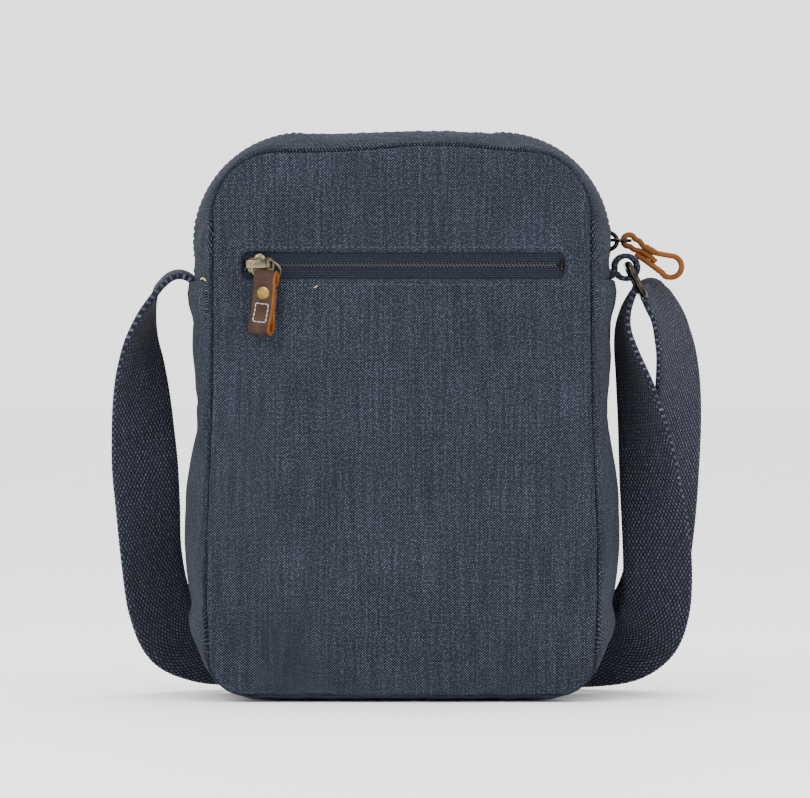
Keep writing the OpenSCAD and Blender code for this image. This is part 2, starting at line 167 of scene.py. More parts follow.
def cloth_material(name, dark, mid, light, pitch_u, pitch_v, depth, slub=0.5, fade=0.16, sheen=0.02,
                   streak=26.0):
    """Plain woven cloth: thread tips on a lattice, uneven threads running along V, and worn patches."""
    n = Net(name)
    u, v = n.uv()
    wobble = n.noise(n.place(u, v), 150.0, 2.0)
    drift = n.op("MULTIPLY_ADD", wobble, 1.6, -0.8)
    across = n.op("SINE", n.op("ADD", n.op("MULTIPLY", u, 2 * pi / pitch_u), drift))
    length = n.op("SINE", n.op("ADD", n.op("MULTIPLY", v, 2 * pi / pitch_v), drift))
    weave = n.op("MULTIPLY_ADD", n.op("MULTIPLY", across, length), 0.5, 0.5)
    threads = n.noise(n.place(n.op("MULTIPLY", u, 900.0), n.op("MULTIPLY", v, streak)), 1.0, 3.0, 0.6)
    threads = n.spread(threads, 0.38, 0.64)
    picks = n.noise(n.place(n.op("MULTIPLY", u, 30.0), n.op("MULTIPLY", v, 900.0), 4.0), 1.0, 3.0, 0.65)
    picks = n.spread(picks, 0.36, 0.66)
    speck = n.spread(n.noise(n.place(u, v, 0.3), 1100.0, 1.0), 0.40, 0.68)
    patches = n.spread(n.noise(n.place(u, v, 1.7), 20.0, 4.0), 0.36, 0.70)
    grain = n.op("ADD", n.op("MULTIPLY", threads, 0.72), n.op("MULTIPLY", picks, 0.28))
    tips = n.op("MULTIPLY", n.spread(weave, 0.42, 0.88), n.op("MULTIPLY_ADD", grain, slub, 1 - slub))
    tips = n.op("MULTIPLY", tips, n.op("MULTIPLY_ADD", speck, 0.75, 0.25))
    tips = n.op("MULTIPLY", tips, n.op("MULTIPLY_ADD", patches, fade, 1 - fade * 0.5))
    base = n.mix(n.op("MULTIPLY_ADD", grain, 0.35, n.op("MULTIPLY", patches, fade)), dark, mid)
    color = n.mix(tips, base, light)
    height = n.op("ADD", n.op("MULTIPLY", weave, 0.75), n.op("MULTIPLY", grain, 0.5))
    normal = n.bump(height, depth)
    return n.set(color, normal, Roughness=0.9, Sheen_Weight=sheen, Sheen_Roughness=0.5,
                 Specular_IOR_Level=0.06)


CANVAS = cloth_material("canvas_navy", (0.0050, 0.0060, 0.0100), (0.0115, 0.0138, 0.0215),
                        (0.128, 0.154, 0.202), 0.00125, 0.00118, 0.00035)
WEBBING = cloth_material("webbing_navy", (0.0080, 0.0087, 0.0145), (0.0175, 0.0190, 0.0300),
                         (0.105, 0.114, 0.155), 0.0017, 0.0031, 0.0006, slub=0.3, fade=0.12,
                         sheen=0.03, streak=60.0)
LINING = cloth_material("lining_plain", (0.30, 0.27, 0.22), (0.42, 0.39, 0.33), (0.52, 0.49, 0.43),
                        0.0008, 0.0008, 0.0001)


def tape_material():
    n = Net("zip_tape_ribbed")
    u, v = n.uv()
    ribs = n.op("MULTIPLY_ADD", n.wave(v, 0.0011), 0.5, 0.5)
    cross = n.op("MULTIPLY_ADD", n.wave(u, 0.0008), 0.5, 0.5)
    grain = n.noise(n.place(n.op("MULTIPLY", u, 900.0), n.op("MULTIPLY", v, 900.0)), 1.0, 2.0)
    lit = n.op("MULTIPLY", n.op("MULTIPLY_ADD", cross, 0.4, ribs), grain)
    color = n.mix(lit, (0.0040, 0.0050, 0.0085), (0.030, 0.036, 0.052))
    height = n.op("MULTIPLY_ADD", cross, 0.4, ribs)
    return n.set(color, n.bump(height, 0.00025), Roughness=0.8, Sheen_Weight=0.0, Specular_IOR_Level=0.06)


def leather_material(name, dark, light, rough, grain_scale, depth):
    n = Net(name)
    p = n.object_place()
    large = n.spread(n.noise(p, 160.0, 4.0), 0.3, 0.7)
    pores = n.noise(p, grain_scale, 5.0, 0.7)
    color = n.mix(n.op("MULTIPLY_ADD", large, 0.6, n.op("MULTIPLY", pores, 0.4)), dark, light)
    normal = n.bump(pores, depth)
    return n.set(color, normal, Roughness=rough, Specular_IOR_Level=0.14)


def metal_material(name, low, high, rough):
    n = Net(name)
    p = n.object_place()
    worn = n.spread(n.noise(p, 260.0, 4.0), 0.35, 0.7)
    color = n.mix(worn, low, high)
    normal = n.bump(n.noise(p, 900.0, 3.0), 0.00006)
    return n.set(color, normal, Roughness=rough, Metallic=1.0)


TAPE = tape_material()
HIDE = leather_material("leather_face", (0.016, 0.0078, 0.0042), (0.048, 0.0235, 0.0125),
                        0.55, 1900.0, 0.00008)
HIDE_EDGE = leather_material("leather_edge", (0.085, 0.0245, 0.0036), (0.185, 0.060, 0.0100),
                             0.72, 2600.0, 0.0002)
BRASS = metal_material("brass_antique", (0.040, 0.033, 0.022), (0.22, 0.185, 0.125), 0.20)
BRASS_CAP = metal_material("brass_cap", (0.14, 0.085, 0.020), (0.29, 0.190, 0.055), 0.30)
BRONZE = metal_material("bronze_dark", (0.012, 0.0105, 0.0085), (0.055, 0.046, 0.034), 0.20)
# Painted shadow: a flat dark colour for thin discs laid under the rivet caps.
SHADOW = Net("rivet_painted_shadow").set((0.012, 0.010, 0.010), Roughness=0.5)
COIL = Net("coil_dark").set((0.0085, 0.0095, 0.0120), Roughness=0.30, Specular_IOR_Level=0.5)
THREAD = Net("thread_navy").set((0.020, 0.025, 0.042), Roughness=0.7)
THREAD_DARK = Net("thread_dark").set((0.006, 0.007, 0.012), Roughness=0.8)
THREAD_GREY = Net("thread_grey").set((0.33, 0.32, 0.29), Roughness=0.6)
THREAD_YELLOW = Net("thread_yellow").set((0.55, 0.36, 0.09), Roughness=0.6)


# ---------- mesh helpers, all in millimetres ----------

def piece(name, points, faces, material, uv=None, body="bag", slot=None, smooth=True, replaces=(), levels=0,
          marks=None):
    data = bpy.data.meshes.new(name)
    data.from_pydata((np.asarray(points, float) * MM).tolist(), [], [list(map(int, f)) for f in faces])
    mats = material if isinstance(material, (list, tuple)) else [material]
    for m in mats:
        data.materials.append(m)
    if marks is not None:
        data.polygons.foreach_set("material_index", np.asarray(marks, np.int32))
    if uv is not None:
        layer = data.uv_layers.new(name="UVMap")
        index = np.zeros(len(data.loops), np.int32)
        data.loops.foreach_get("vertex_index", index)
        layer.data.foreach_set("uv", (np.asarray(uv, float)[index] * MM).astype(np.float32).ravel())
    data.polygons.foreach_set("use_smooth", np.full(len(data.polygons), smooth))
    data.update()
    obj = bpy.data.objects.new(name, data)
    scene.collection.objects.link(obj)
    if levels:
        m = obj.modifiers.new("fine", "SUBSURF")
        m.levels = m.render_levels = levels
        m.uv_smooth = "PRESERVE_BOUNDARIES"
    if body:
        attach(obj, body)
    if replaces:
        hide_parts(*replaces)
    return obj


def grid_faces(rows, cols, wrap=False, start=0):
    n = cols if wrap else cols - 1
    return [
        (start + i * cols + j, start + i * cols + (j + 1) % cols,
         start + (i + 1) * cols + (j + 1) % cols, start + (i + 1) * cols + j)
        for i in range(rows - 1) for j in range(n)
    ]


def end_caps(rows, cols):
    return [list(range(cols))[::-1], list(range((rows - 1) * cols, rows * cols))]


def backed(faces, count):
    """The faces, and the same ones turned over for an inner layer whose points start at count."""
    return list(faces) + [[i + count for i in f][::-1] for f in faces]


def spline_points(stations, n):
    """Catmull-Rom through the stations, n steps between two of them, for rows of any width."""
    s = np.asarray(stations, float)
    out = []
    last = len(s) - 1
    for k in range(last):
        a, b, c, d = s[max(k - 1, 0)], s[k], s[k + 1], s[min(k + 2, last)]
        for i in range(n):
            u = i / n
            out.append(0.5 * (2 * b + (c - a) * u + (2 * a - 5 * b + 4 * c - d) * u * u
                              + (3 * b - a - 3 * c + d) * u ** 3))
    out.append(s[last])
    return np.array(out)


def even(points, step):
    """The same line with points at an even spacing. Columns after the first three follow along."""
    p = np.asarray(points, float)
    gaps = np.linalg.norm(np.diff(p[:, :3], axis=0), axis=1)
    run = np.concatenate([[0], np.cumsum(gaps)])
    n = max(2, int(round(run[-1] / step)) + 1)
    at = np.linspace(0, run[-1], n)
    return np.stack([np.interp(at, run, p[:, k]) for k in range(p.shape[1])], axis=1), at


def unit(v):
    return v / np.maximum(np.linalg.norm(v, axis=-1, keepdims=True), 1e-12)


def section(width, thick, side=7, round_n=3):
    """A flat section with rounded edges: (across, out) points."""
    r = thick / 2
    pts = []
    flat = width / 2 - r
    for s in (1, -1):
        for i in range(side):
            pts.append((s * (flat - 2 * flat * i / (side - 1)), s * r))
        for i in range(1, round_n + 1):
            a = pi / 2 + pi * i / (round_n + 1)
            pts.append((-s * flat + s * r * math.cos(a), s * r * math.sin(a)))
    return np.array(pts)


def ribbon(name, line, edges, width, thick, material, step=0.8, knot=0.0, shift=0.0, side=7,
           marks=None, **kw):
    """Flat strip swept along line, an (n, 3) array, with its width along edges."""
    both, at = even(np.hstack([line, edges]), step)
    place, edge = both[:, :3], both[:, 3:]
    run = unit(np.gradient(place, axis=0))
    w = unit(edge - (edge * run).sum(1, keepdims=True) * run)
    t = np.cross(run, w)
    shape = section(width, thick, side)
    ripple = 1 + knot * np.sin(2 * pi * (at + shift) / 1.5)
    rows = []
    for i in range(len(place)):
        across = shape[:, 0].copy()
        far = np.abs(across) > width / 2 - thick
        across[far] *= ripple[i]
        rows.append(place[i] + across[:, None] * w[i] + shape[:, 1][:, None] * t[i])
    cols = len(shape)
    points = np.concatenate(rows)
    uv = np.stack([np.tile(shape[:, 0], len(place)), np.repeat(at + shift, cols)], axis=1)
    faces = grid_faces(len(place), cols, True)
    found = None
    if marks is not None:
        found = [marks(shape[j % cols]) for j in range(len(faces))] + [1, 1]
    return piece(name, points, faces + end_caps(len(place), cols), material, uv, marks=found, **kw)


def tube(name, line, radius, material, closed=False, around=12, **kw):
    p = np.asarray(line, float)
    n = len(p)
    if closed:
        run = unit(np.roll(p, -1, 0) - np.roll(p, 1, 0))
    else:
        run = unit(np.gradient(p, axis=0))
    side = unit(np.cross(run[0], [0.31, 0.17, 0.93]))
    rows = []
    for i in range(n):
        side = unit(side - side.dot(run[i]) * run[i])
        other = np.cross(run[i], side)
        a = 2 * pi * np.arange(around) / around
        rows.append(p[i] + radius * (np.cos(a)[:, None] * side + np.sin(a)[:, None] * other))
    points = np.concatenate(rows)
    faces = grid_faces(n, around, True)
    if closed:
        # The frames turn a little over one round, so the last row joins the nearest start.
        first, last = rows[0], rows[-1]
        off = int(np.argmin(np.linalg.norm(first - last[0], axis=1)))
        base = (n - 1) * around
        faces += [(base + j, base + (j + 1) % around, (off + j + 1) % around, (off + j) % around)
                  for j in range(around)]
    else:
        faces += end_caps(n, around)
    return piece(name, points, faces, material, **kw)


def copies(name, base, faces, frames, material, **kw):
    """Many copies of one small mesh in one piece; frames are (place, x, y, z) with axes as rows."""
    base = np.asarray(base, float)
    points, out = [], []
    for k, (place, x, y, z) in enumerate(frames):
        points.append(np.asarray(place) + base[:, :1] * np.asarray(x) + base[:, 1:2] * np.asarray(y)
                      + base[:, 2:3] * np.asarray(z))
        out += [[i + k * len(base) for i in f] for f in faces]
    return piece(name, np.concatenate(points), out, material, **kw)


def capsule(length, r, flat=1.0, around=8, rings=3):
    """Capsule along X, its height along Z times flat."""
    pts, faces = [], []
    half = length / 2 - r
    profile = [(-half - r * math.cos(a), r * math.sin(a)) for a in np.linspace(0.12, pi / 2, rings)]
    profile += [(-x, q) for x, q in profile[::-1]]
    for x, q in profile:
        for j in range(around):
            b = 2 * pi * j / around
            pts.append((x, q * math.cos(b), flat * q * math.sin(b)))
    faces = grid_faces(len(profile), around, True)
    faces += end_caps(len(profile), around)
    return np.array(pts), faces


def lathe(profile, around=32):
    """A turned shape about Z from (radius, height) pairs."""
    pts = [(r * math.cos(2 * pi * j / around), r * math.sin(2 * pi * j / around), z)
           for r, z in profile for j in range(around)]
    faces = grid_faces(len(profile), around, True)
    faces += end_caps(len(profile), around)
    return np.array(pts), faces


def stitches(name, points, normals, pitch, length, r, material, lift=0.0, **kw):
    """Short threads along a line that lies on the cloth."""
    both, at = even(np.hstack([np.asarray(points, float), np.asarray(normals, float)]), 0.4)
    total = at[-1]
    base, faces = capsule(length, r, 0.8)
    frames = []
    for k in range(int(total / pitch)):
        s = (k + 0.5) * pitch
        i = min(int(s / total * (len(both) - 1)), len(both) - 2)
        run = unit(both[i + 1, :3] - both[i, :3])
        up = unit(both[i, 3:])
        side = np.cross(up, run)
        frames.append((both[i, :3] + lift * up, run, side, np.cross(run, side)))
    return copies(name, base, faces, frames, material, **kw)


# ---------- the bag's outlines, counter-clockwise from the lower left, seen from the rear ----------

SIDE_N, TURN_N, TOP_N, BASE_N = 60, 20, 38, 38


def hump(x, middle, wide, high):
    return high * np.exp(-((x - middle) / wide) ** 2)


def ring_of(side, z0, z1, low_r, top_r, z_base, z_top, bow):
    """side(z) is the half width; the corners are quarter circles, and bow(x) lifts the top."""
    # Every ring has the same heights between LEVEL[0] and LEVEL[1], so columns run level round the
    # gusset there.
    low_n, high_n = 8, 6
    zs = np.concatenate([np.linspace(z0, LEVEL[0], low_n + 1)[:-1],
                         np.linspace(*LEVEL, SIDE_N - low_n - high_n + 1)[:-1],
                         np.linspace(LEVEL[1], z1, high_n + 1)])
    xs = side(zs)
    low_c, top_c = xs[0] - low_r, xs[-1] - top_r
    a = np.linspace(-pi / 2, 0, TURN_N + 1)
    low = np.stack([low_c + low_r * np.cos(a), z0 + low_r * np.sin(a)], 1)
    low[:, 1] = z_base + (low[:, 1] - low[0, 1]) * (z0 - z_base) / low_r
    a = np.linspace(0, pi / 2, TURN_N + 1)
    top = np.stack([top_c + top_r * np.cos(a), z1 + top_r * np.sin(a)], 1)
    top[:, 1] = z1 + (top[:, 1] - z1) * (z_top - z1) / (top[-1, 1] - z1)
    t = np.linspace(top_c, -top_c, TOP_N + 1)[1:-1]
    half = np.concatenate([low[:-1], np.stack([xs, zs], 1)[:-1], top])
    over = np.stack([t, z_top + bow(t) - np.interp(t, [-top_c, top_c], [bow(-top_c), bow(top_c)])], 1)
    b = np.linspace(-low_c, low_c, BASE_N + 1)[1:-1]
    under = np.stack([b, np.full(len(b), z_base)], 1)
    mirror = half[::-1] * [-1, 1]
    return np.concatenate([under, half, over, mirror])


LEVEL = (60, 200)
SEAM = ring_of(lambda z: 85.6 + hump(z, 56, 60, 3.0), 20, 219.5, 17, 29, 2.6, 248.5,
               lambda x: hump(x, 16, 34, 3.6))
CROWN = ring_of(lambda z: 94.4 + 0.6 * (207 - z) / 169 + hump(z, 78, 40, 2.6), 38, 207, 38, 50, 0.2, 257.0,
                lambda x: hump(x, 13, 30, 1.5))
COUNT = len(SEAM)
RUN = np.concatenate([[0], np.cumsum(np.linalg.norm(np.diff(CROWN, axis=0), axis=1))])


def inward(ring):
    d = np.roll(ring, -1, 0) - np.roll(ring, 1, 0)
    return unit(np.stack([-d[:, 1], d[:, 0]], 1))


SEAM_Y = 33.6
ROWS = np.array([-33.6, -32.9, -31.8, -30.2, -28, -24.5, -20.5, -16.5, -13.6, -11, -8, -5.5, -3, 0,
                 3, 5.5, 8, 11, 13.6, 16.5, 20.5, 24.5, 28, 30.2, 31.8, 32.9, 33.6])


def rise(y):
    v = np.minimum(np.abs(y) / SEAM_Y, 1)
    return (1 - v ** 2.6) ** 0.62


def body_at(y):
    h = rise(y)
    return SEAM * (1 - h) + CROWN * h


GUSSET = np.array([[[p[0], y, p[1]] for p in body_at(y)] for y in ROWS])

STEPS = [0.9, 2.0, 3.4, 5.2, 7.6, 10.6]


def roll_out(d):
    """How far a panel stands out of its seam at distance d from it."""
    return 1.55 * (1 - math.exp(-d / 2.0))


def box_distance(x, z, cx, cz, w, h, r):
    qx, qz = abs(x - cx) - (w / 2 - r), abs(z - cz) - (h / 2 - r)
    return math.hypot(max(qx, 0), max(qz, 0)) + min(max(qx, qz), 0) - r


REAR_WINDOW = (0.75, 196.7, 144.5, 11.4, 3.0)
FRONT_WINDOW = (0, 136, 118, 11.0, 2.5)


CORNERS = ((1, 1, 0), (-1, 1, 90), (-1, -1, 180), (1, -1, 270))


def rounded_rect(cx, cz, half_w, half_h, r, n, corners=CORNERS):
    """Corner arcs of a rounded rectangle, counter-clockwise, with n steps to a corner."""
    pts = []
    for sx, sz, start in corners:
        for k in range(n + 1):
            a = math.radians(start + 90 * k / n)
            pts.append((cx + sx * (half_w - r) + r * math.cos(a), cz + sz * (half_h - r) + r * math.sin(a)))
    return pts


def densify(pts, step=3.2):
    """The closed line with points at most about a step apart."""
    dense = []
    for i, p in enumerate(pts):
        q = pts[(i + 1) % len(pts)]
        m = max(1, int(math.hypot(q[0] - p[0], q[1] - p[1]) / step))
        dense += [(p[0] + (q[0] - p[0]) * k / m, p[1] + (q[1] - p[1]) * k / m) for k in range(m)]
    return dense


def window_ring(win, grow, n=6):
    cx, cz, w, h, r = win
    return densify(rounded_rect(cx, cz, w / 2 + grow, h / 2 + grow, r + grow, n))


def window_dip(d):
    """How far cloth sinks at distance d from a zip window: the turned edge, and the stitched line."""
    return 1.5 * math.exp(-(max(d, 0) / 0.55) ** 2) + 0.22 * math.exp(-((d - 2.7) / 0.5) ** 2)


def fill(ring, window, grid=3.4):
    """Triangles inside ring, with lines of points round a window left open. Returns points and faces."""
    loops = [[tuple(p) for p in ring]]
    grows = (0.0, 0.45, 1.2, 2.4, 3.1, 4.4)
    if window:
        loops += [window_ring(window, g) for g in grows]
    points, edges = [], []
    for loop in loops:
        n0 = len(points)
        points += loop
        edges += [(n0 + i, n0 + (i + 1) % len(loop)) for i in range(len(loop))]
    poly = np.array(loops[0])
    xs = np.arange(poly[:, 0].min(), poly[:, 0].max(), grid)
    zs = np.arange(poly[:, 1].min(), poly[:, 1].max(), grid)
    nxt = np.roll(poly, -1, 0)
    for j, z in enumerate(zs):
        for x in xs + (grid / 2 if j % 2 else 0):
            crosses = ((poly[:, 1] > z) != (nxt[:, 1] > z)) & (
                x < (nxt[:, 0] - poly[:, 0]) * (z - poly[:, 1]) / (nxt[:, 1] - poly[:, 1] + 1e-12)
                + poly[:, 0])
            if crosses.sum() % 2 == 0:
                continue
            if np.min((poly[:, 0] - x) ** 2 + (poly[:, 1] - z) ** 2) < (grid * 0.55) ** 2:
                continue
            if window and box_distance(x, z, *window) < grows[-1] + grid * 0.5:
                continue
            points.append((x, z))
    face = [list(range(len(loops[0])))]
    got = geometry.delaunay_2d_cdt([Vector(p) for p in points], edges, face, 1, 1e-5)
    out = np.array([tuple(p) for p in got[0]])
    tris = []
    for f in got[2]:
        c = out[list(f)].mean(0)
        if window and box_distance(c[0], c[1], *window) < 0:
            continue
        a, b, d = out[f[0]], out[f[1]], out[f[2]]
        turn = (b[0] - a[0]) * (d[1] - a[1]) - (b[1] - a[1]) * (d[0] - a[0])
        tris.append(list(f) if turn > 0 else list(f)[::-1])
    return out, tris, len(loops[0])


def panel(side, window):
    """Rings in from the seam, then the fill. side is -1 for the rear panel and 1 for the front one."""
    inn = inward(SEAM)
    rings = [SEAM + inn * d for d in STEPS]
    inner, tris, n = fill(rings[-1], window)
    flat = np.concatenate([SEAM] + rings[:-1] + [inner])
    depth = []
    for d in [0] + STEPS[:-1]:
        depth += [roll_out(d)] * COUNT
    for i, (x, z) in enumerate(inner):
        gap = STEPS[-1] if i < n else np.min(np.hypot(SEAM[:, 0] - x, SEAM[:, 1] - z))
        y = roll_out(gap)
        if window:
            y -= window_dip(box_distance(x, z, *window))
        depth.append(y)
    points = np.stack([flat[:, 0], side * (SEAM_Y + np.array(depth)), flat[:, 1]], 1)
    last = (len(STEPS) - 1) * COUNT
    faces = grid_faces(len(STEPS), COUNT, True)
    # the fill's own first ring has the same points as the last ring of steps
    link = [last + i for i in range(COUNT)]
    first = list(range(last + COUNT, last + 2 * COUNT))
    faces += [(link[i], link[(i + 1) % COUNT], first[(i + 1) % COUNT], first[i]) for i in range(COUNT)]
    faces += [[last + COUNT + i for i in f] for f in tris]
    if side > 0:
        faces = [list(f)[::-1] for f in faces]
    return points, faces


rear_p, rear_f = panel(-1, REAR_WINDOW)
front_p, front_f = panel(1, None)

# One closed sack: the gusset's first and last rows are the panels' seam rows.
gusset_points = GUSSET.reshape(-1, 3)
gusset_faces = [f[::-1] for f in grid_faces(len(ROWS), COUNT, True)]
last_row = (len(ROWS) - 1) * COUNT
n_gusset = len(gusset_points)


def joined(faces, seam_start, offset):
    return [[seam_start + i if i < COUNT else offset + i - COUNT for i in f] for f in faces]


n_rear = len(rear_p) - COUNT
sack = np.concatenate([gusset_points, rear_p[COUNT:], front_p[COUNT:]])
sack_faces = gusset_faces + joined(rear_f, 0, n_gusset) + joined(front_f, last_row, n_gusset + n_rear)


# ---------- the cloth settles ----------

MOST_MOVE = 2.6  # how far, in mm, a point of the cloth may settle


def settle(points, faces, hold, frames=14):
    """Cloth simulation of the sewn sack, a little too large between the places that hold it."""
    data = bpy.data.meshes.new("sack")
    data.from_pydata((points * MM).tolist(), [], [list(f) for f in faces])
    obj = bpy.data.objects.new("sack", data)
    scene.collection.objects.link(obj)
    group = obj.vertex_groups.new(name="hold")
    for i, w in enumerate(hold):
        if w > 0.01:
            group.add([i], float(w), "REPLACE")
    cloth = obj.modifiers.new("cloth", "CLOTH")
    s = cloth.settings
    s.quality = 6
    s.mass = 0.002
    s.air_damping = 4
    s.tension_stiffness = s.compression_stiffness = 12
    s.shear_stiffness = 6
    s.bending_stiffness = 0.06
    s.tension_damping = s.compression_damping = s.shear_damping = 12
    s.vertex_group_mass = "hold"
    s.pin_stiffness = 1
    s.shrink_min = s.shrink_max = -0.012
    s.use_pressure = True
    s.uniform_pressure_force = 0.35
    s.effector_weights.gravity = 0.6
    cloth.collision_settings.use_collision = False
    cloth.collision_settings.use_self_collision = False
    cloth.point_cache.frame_start = 1
    cloth.point_cache.frame_end = frames
    for f in range(1, frames + 1):
        scene.frame_set(f)
    got = obj.evaluated_get(bpy.context.evaluated_depsgraph_get()).to_mesh()
    co = np.zeros(len(points) * 3, np.float32)
    got.vertices.foreach_get("co", co)
    scene.frame_set(1)
    bpy.data.objects.remove(obj)
    return co.reshape(-1, 3).astype(float) / MM


def held():
    w = np.zeros(len(sack))
    for i, (x, y, z) in enumerate(sack):
        near = abs(abs(y) - SEAM_Y)
        on_gusset = i < n_gusset
        v = 0.0
        if on_gusset:
            v = max(v, 1 - near / 1.6)
            if z > 189 or x < -85 and z > 182:
                v = max(v, 1 if abs(y) < 12 else 0.0)
            if 171 < z < 191 and abs(x) > 80:
                v = max(v, 0.9)
            if z < 1.2:
                v = 1
        elif near < 0.5:
            v = 1
        if y < -30 and not on_gusset:
            v = max(v, 1 - max(box_distance(x, z, *REAR_WINDOW), 0) / 5)
        w[i] = min(1, max(0, v))
    return w


moved = settle(sack, sack_faces, held()) - sack
far = np.linalg.norm(moved, axis=1, keepdims=True)
moved *= np.minimum(1, MOST_MOVE / np.maximum(far, 1e-6))
soft = sack + moved
print("cloth moved mm: mean", far.mean(), "most", far.max())


# ---------- cloth pieces cut from the sack ----------

def normals_of(points, faces):
    n = np.zeros_like(points)
    for f in faces:
        p = points[list(f)]
        c = np.cross(p[1] - p[0], p[2] - p[0]) if len(f) == 3 else np.cross(p[2] - p[0], p[3] - p[1])
        n[list(f)] += c
    return unit(n)


NORMALS = normals_of(soft, sack_faces)
# The seams are turned in: their row sinks between the panel and the gusset.
seam_rows = np.concatenate([np.arange(COUNT), np.arange(last_row, last_row + COUNT)])
shape = soft.copy()
shape[seam_rows] -= 1.7 * NORMALS[seam_rows]


def cut(faces, points=None):
    points = shape if points is None else points
    used = sorted({i for f in faces for i in f})
    index = {v: k for k, v in enumerate(used)}
    return points[used], [[index[i] for i in f] for f in faces], np.array(used)


# The gusset's own width, laid flat, measured at the middle of one side.
side_c = int(np.argmin(np.hypot(CROWN[:, 0] + 94, CROWN[:, 1] - 120)))
side_line = sack[np.arange(len(ROWS)) * COUNT + side_c]
LAID = np.concatenate([[0], np.cumsum(np.linalg.norm(np.diff(side_line, axis=0), axis=1))])
LAID -= LAID[len(ROWS) // 2]


def gusset_uv(used):
    col = used % COUNT
    row = used // COUNT
    return np.stack([LAID[row], RUN[col]], 1)


LOWEST_TOP = 189.5
UPPER = CROWN[:, 1] > LOWEST_TOP
# The zip gusset runs on a little way below its seam, under the canvas patches.
UNDERLAP = CROWN[:, 1] > LOWEST_TOP - 3.4


def gusset_part(y0, y1, top):
    out = []
    above = UNDERLAP if top else UPPER
    for r in range(len(ROWS) - 1):
        a, b = ROWS[r], ROWS[r + 1]
        if a < y0 - 1e-6 or b > y1 + 1e-6:
            continue
        for c in range(COUNT):
            if (above[c] and above[(c + 1) % COUNT]) == top:
                out.append(gusset_faces[r * COUNT + c])
    return out


def thick_piece(name, faces, t, material, uv_of, slot, replaces, points=None, sink=0.0, levels=1):
    """A cloth piece of thickness t: its outer face is the given one, and a rim turns in at open edges."""
    p, f, used = cut(faces, points)
    n = NORMALS[used] if used.max() < len(NORMALS) else normals_of(p, f)
    outer = p - sink * n
    inner = p - (sink + t) * n
    count = len(p)
    open_edges = {}
    for face in f:
        for i in range(len(face)):
            a, b = face[i], face[(i + 1) % len(face)]
            if (b, a) in open_edges:
                del open_edges[(b, a)]
            else:
                open_edges[(a, b)] = True
    rim = [[b, a, a + count, b + count] for a, b in open_edges]
    uv = uv_of(used)
    return piece(name, np.concatenate([outer, inner]), backed(f, count) + rim, material,
                 np.concatenate([uv, uv]), slot=slot, replaces=replaces, levels=levels)


def panel_uv(used):
    return soft[used][:, [0, 2]]


rear_faces = sack_faces[len(gusset_faces):len(gusset_faces) + len(rear_f)]
front_faces = sack_faces[len(gusset_faces) + len(rear_f):]
rear_panel = thick_piece("rear_panel_canvas", rear_faces, 1.6, CANVAS, panel_uv, "canvas", ["back_panel"])
front_panel = thick_piece("front_panel_canvas", front_faces, 1.6, CANVAS, panel_uv, "canvas", ["front_panel"])


def gusset_piece(name, y0, y1, top, t, material, slot, replaces, sink=0.0):
    return thick_piece(name, gusset_part(y0, y1, top), t, material, gusset_uv, slot, replaces, sink=sink)


lower_gusset = gusset_piece("lower_gusset_canvas", -SEAM_Y, SEAM_Y, False, 1.6, CANVAS, "canvas",
                            ["lower_gusset"])
gusset_back = gusset_piece("top_gusset_back_canvas", -SEAM_Y, -11, True, 1.2, CANVAS, "canvas",
                           ["top_gusset_back"])
gusset_front = gusset_piece("top_gusset_front_canvas", 11, SEAM_Y, True, 1.2, CANVAS, "canvas",
                            ["top_gusset_front"])
tape_back = gusset_piece("main_tape_back_woven", -13.6, -3, True, 0.7, TAPE, "zip_tape",
                         ["main_tape_back"], 1.3)
tape_front = gusset_piece("main_tape_front_woven", 3, 13.6, True, 0.7, TAPE, "zip_tape",
                          ["main_tape_front"], 1.3)
gusset_piece("main_zip_core", -3, 3, True, 0.7, TAPE, "zip_tape", [], 1.7)


# ---------- shoulder strap: the webbing's own line is the CAD part's ----------

LEFT_ANCHOR = [(-91.5, 185.4), (-93.2, 187.8), (-95.4, 190.3), (-98.2, 192.1), (-101.4, 192.8), (-105, 191.9),
               (-108.6, 189.1)]
LEFT = [(x, 0, z, 0.04, -1, -0.05) for x, z in LEFT_ANCHOR] + [
    (-112.2, 0, 184.3, 0.03, -1, -0.02),
    (-116.4, 0.5, 174, -0.18, -0.98, 0),
    (-118.9, 2, 162, -0.42, -0.91, 0),
    (-119.2, 4, 150, -0.63, -0.78, 0),
    (-118.9, 6.5, 137, -0.77, -0.64, 0),
    (-118.3, 9.5, 122, -0.87, -0.5, 0),
    (-117.4, 12, 105, -0.93, -0.36, 0),
    (-116.2, 15, 87, -0.9, -0.42, -0.06),
    (-114.8, 20, 64, -0.83, -0.5, -0.2),
    (-111.4, 28, 42, -0.78, -0.3, -0.5),
    (-104.4, 38.5, 26, -0.6, 0, -0.76),
    (-92, 50, 19.4, -0.34, 0.1, -0.92),
    (-76, 61, 17.6, -0.1, 0.05, -1),
    (-60, 69, 17.4, 0, 0, -1),
]
RUN_Y, RUN_Z = 80, 20.6
WEAVE_HALF = [(26, 2.9), (22, 2.9), (17, 2.9), (13.5, 2.9), (10.9, 2.3), (9, 0.4),
              (7.4, -2.4), (4.4, -4.6), (0, -5.3)]
WEAVE_LEFT = [(-60, 69, 17.4), (-48, 75.5, 17.8), (-38, 79.8, 18.8), (-31, 82.3, 19.8)]
WEAVE_LEFT += [(-x, RUN_Y + y, RUN_Z) for x, y in WEAVE_HALF]
WEAVE_RIGHT = [(x, RUN_Y + y, RUN_Z) for x, y in WEAVE_HALF[::-1]]
WEAVE_RIGHT += [(34, 80.6, 19.8), (44, 75.2, 18.6), (56, 68, 17.6)]
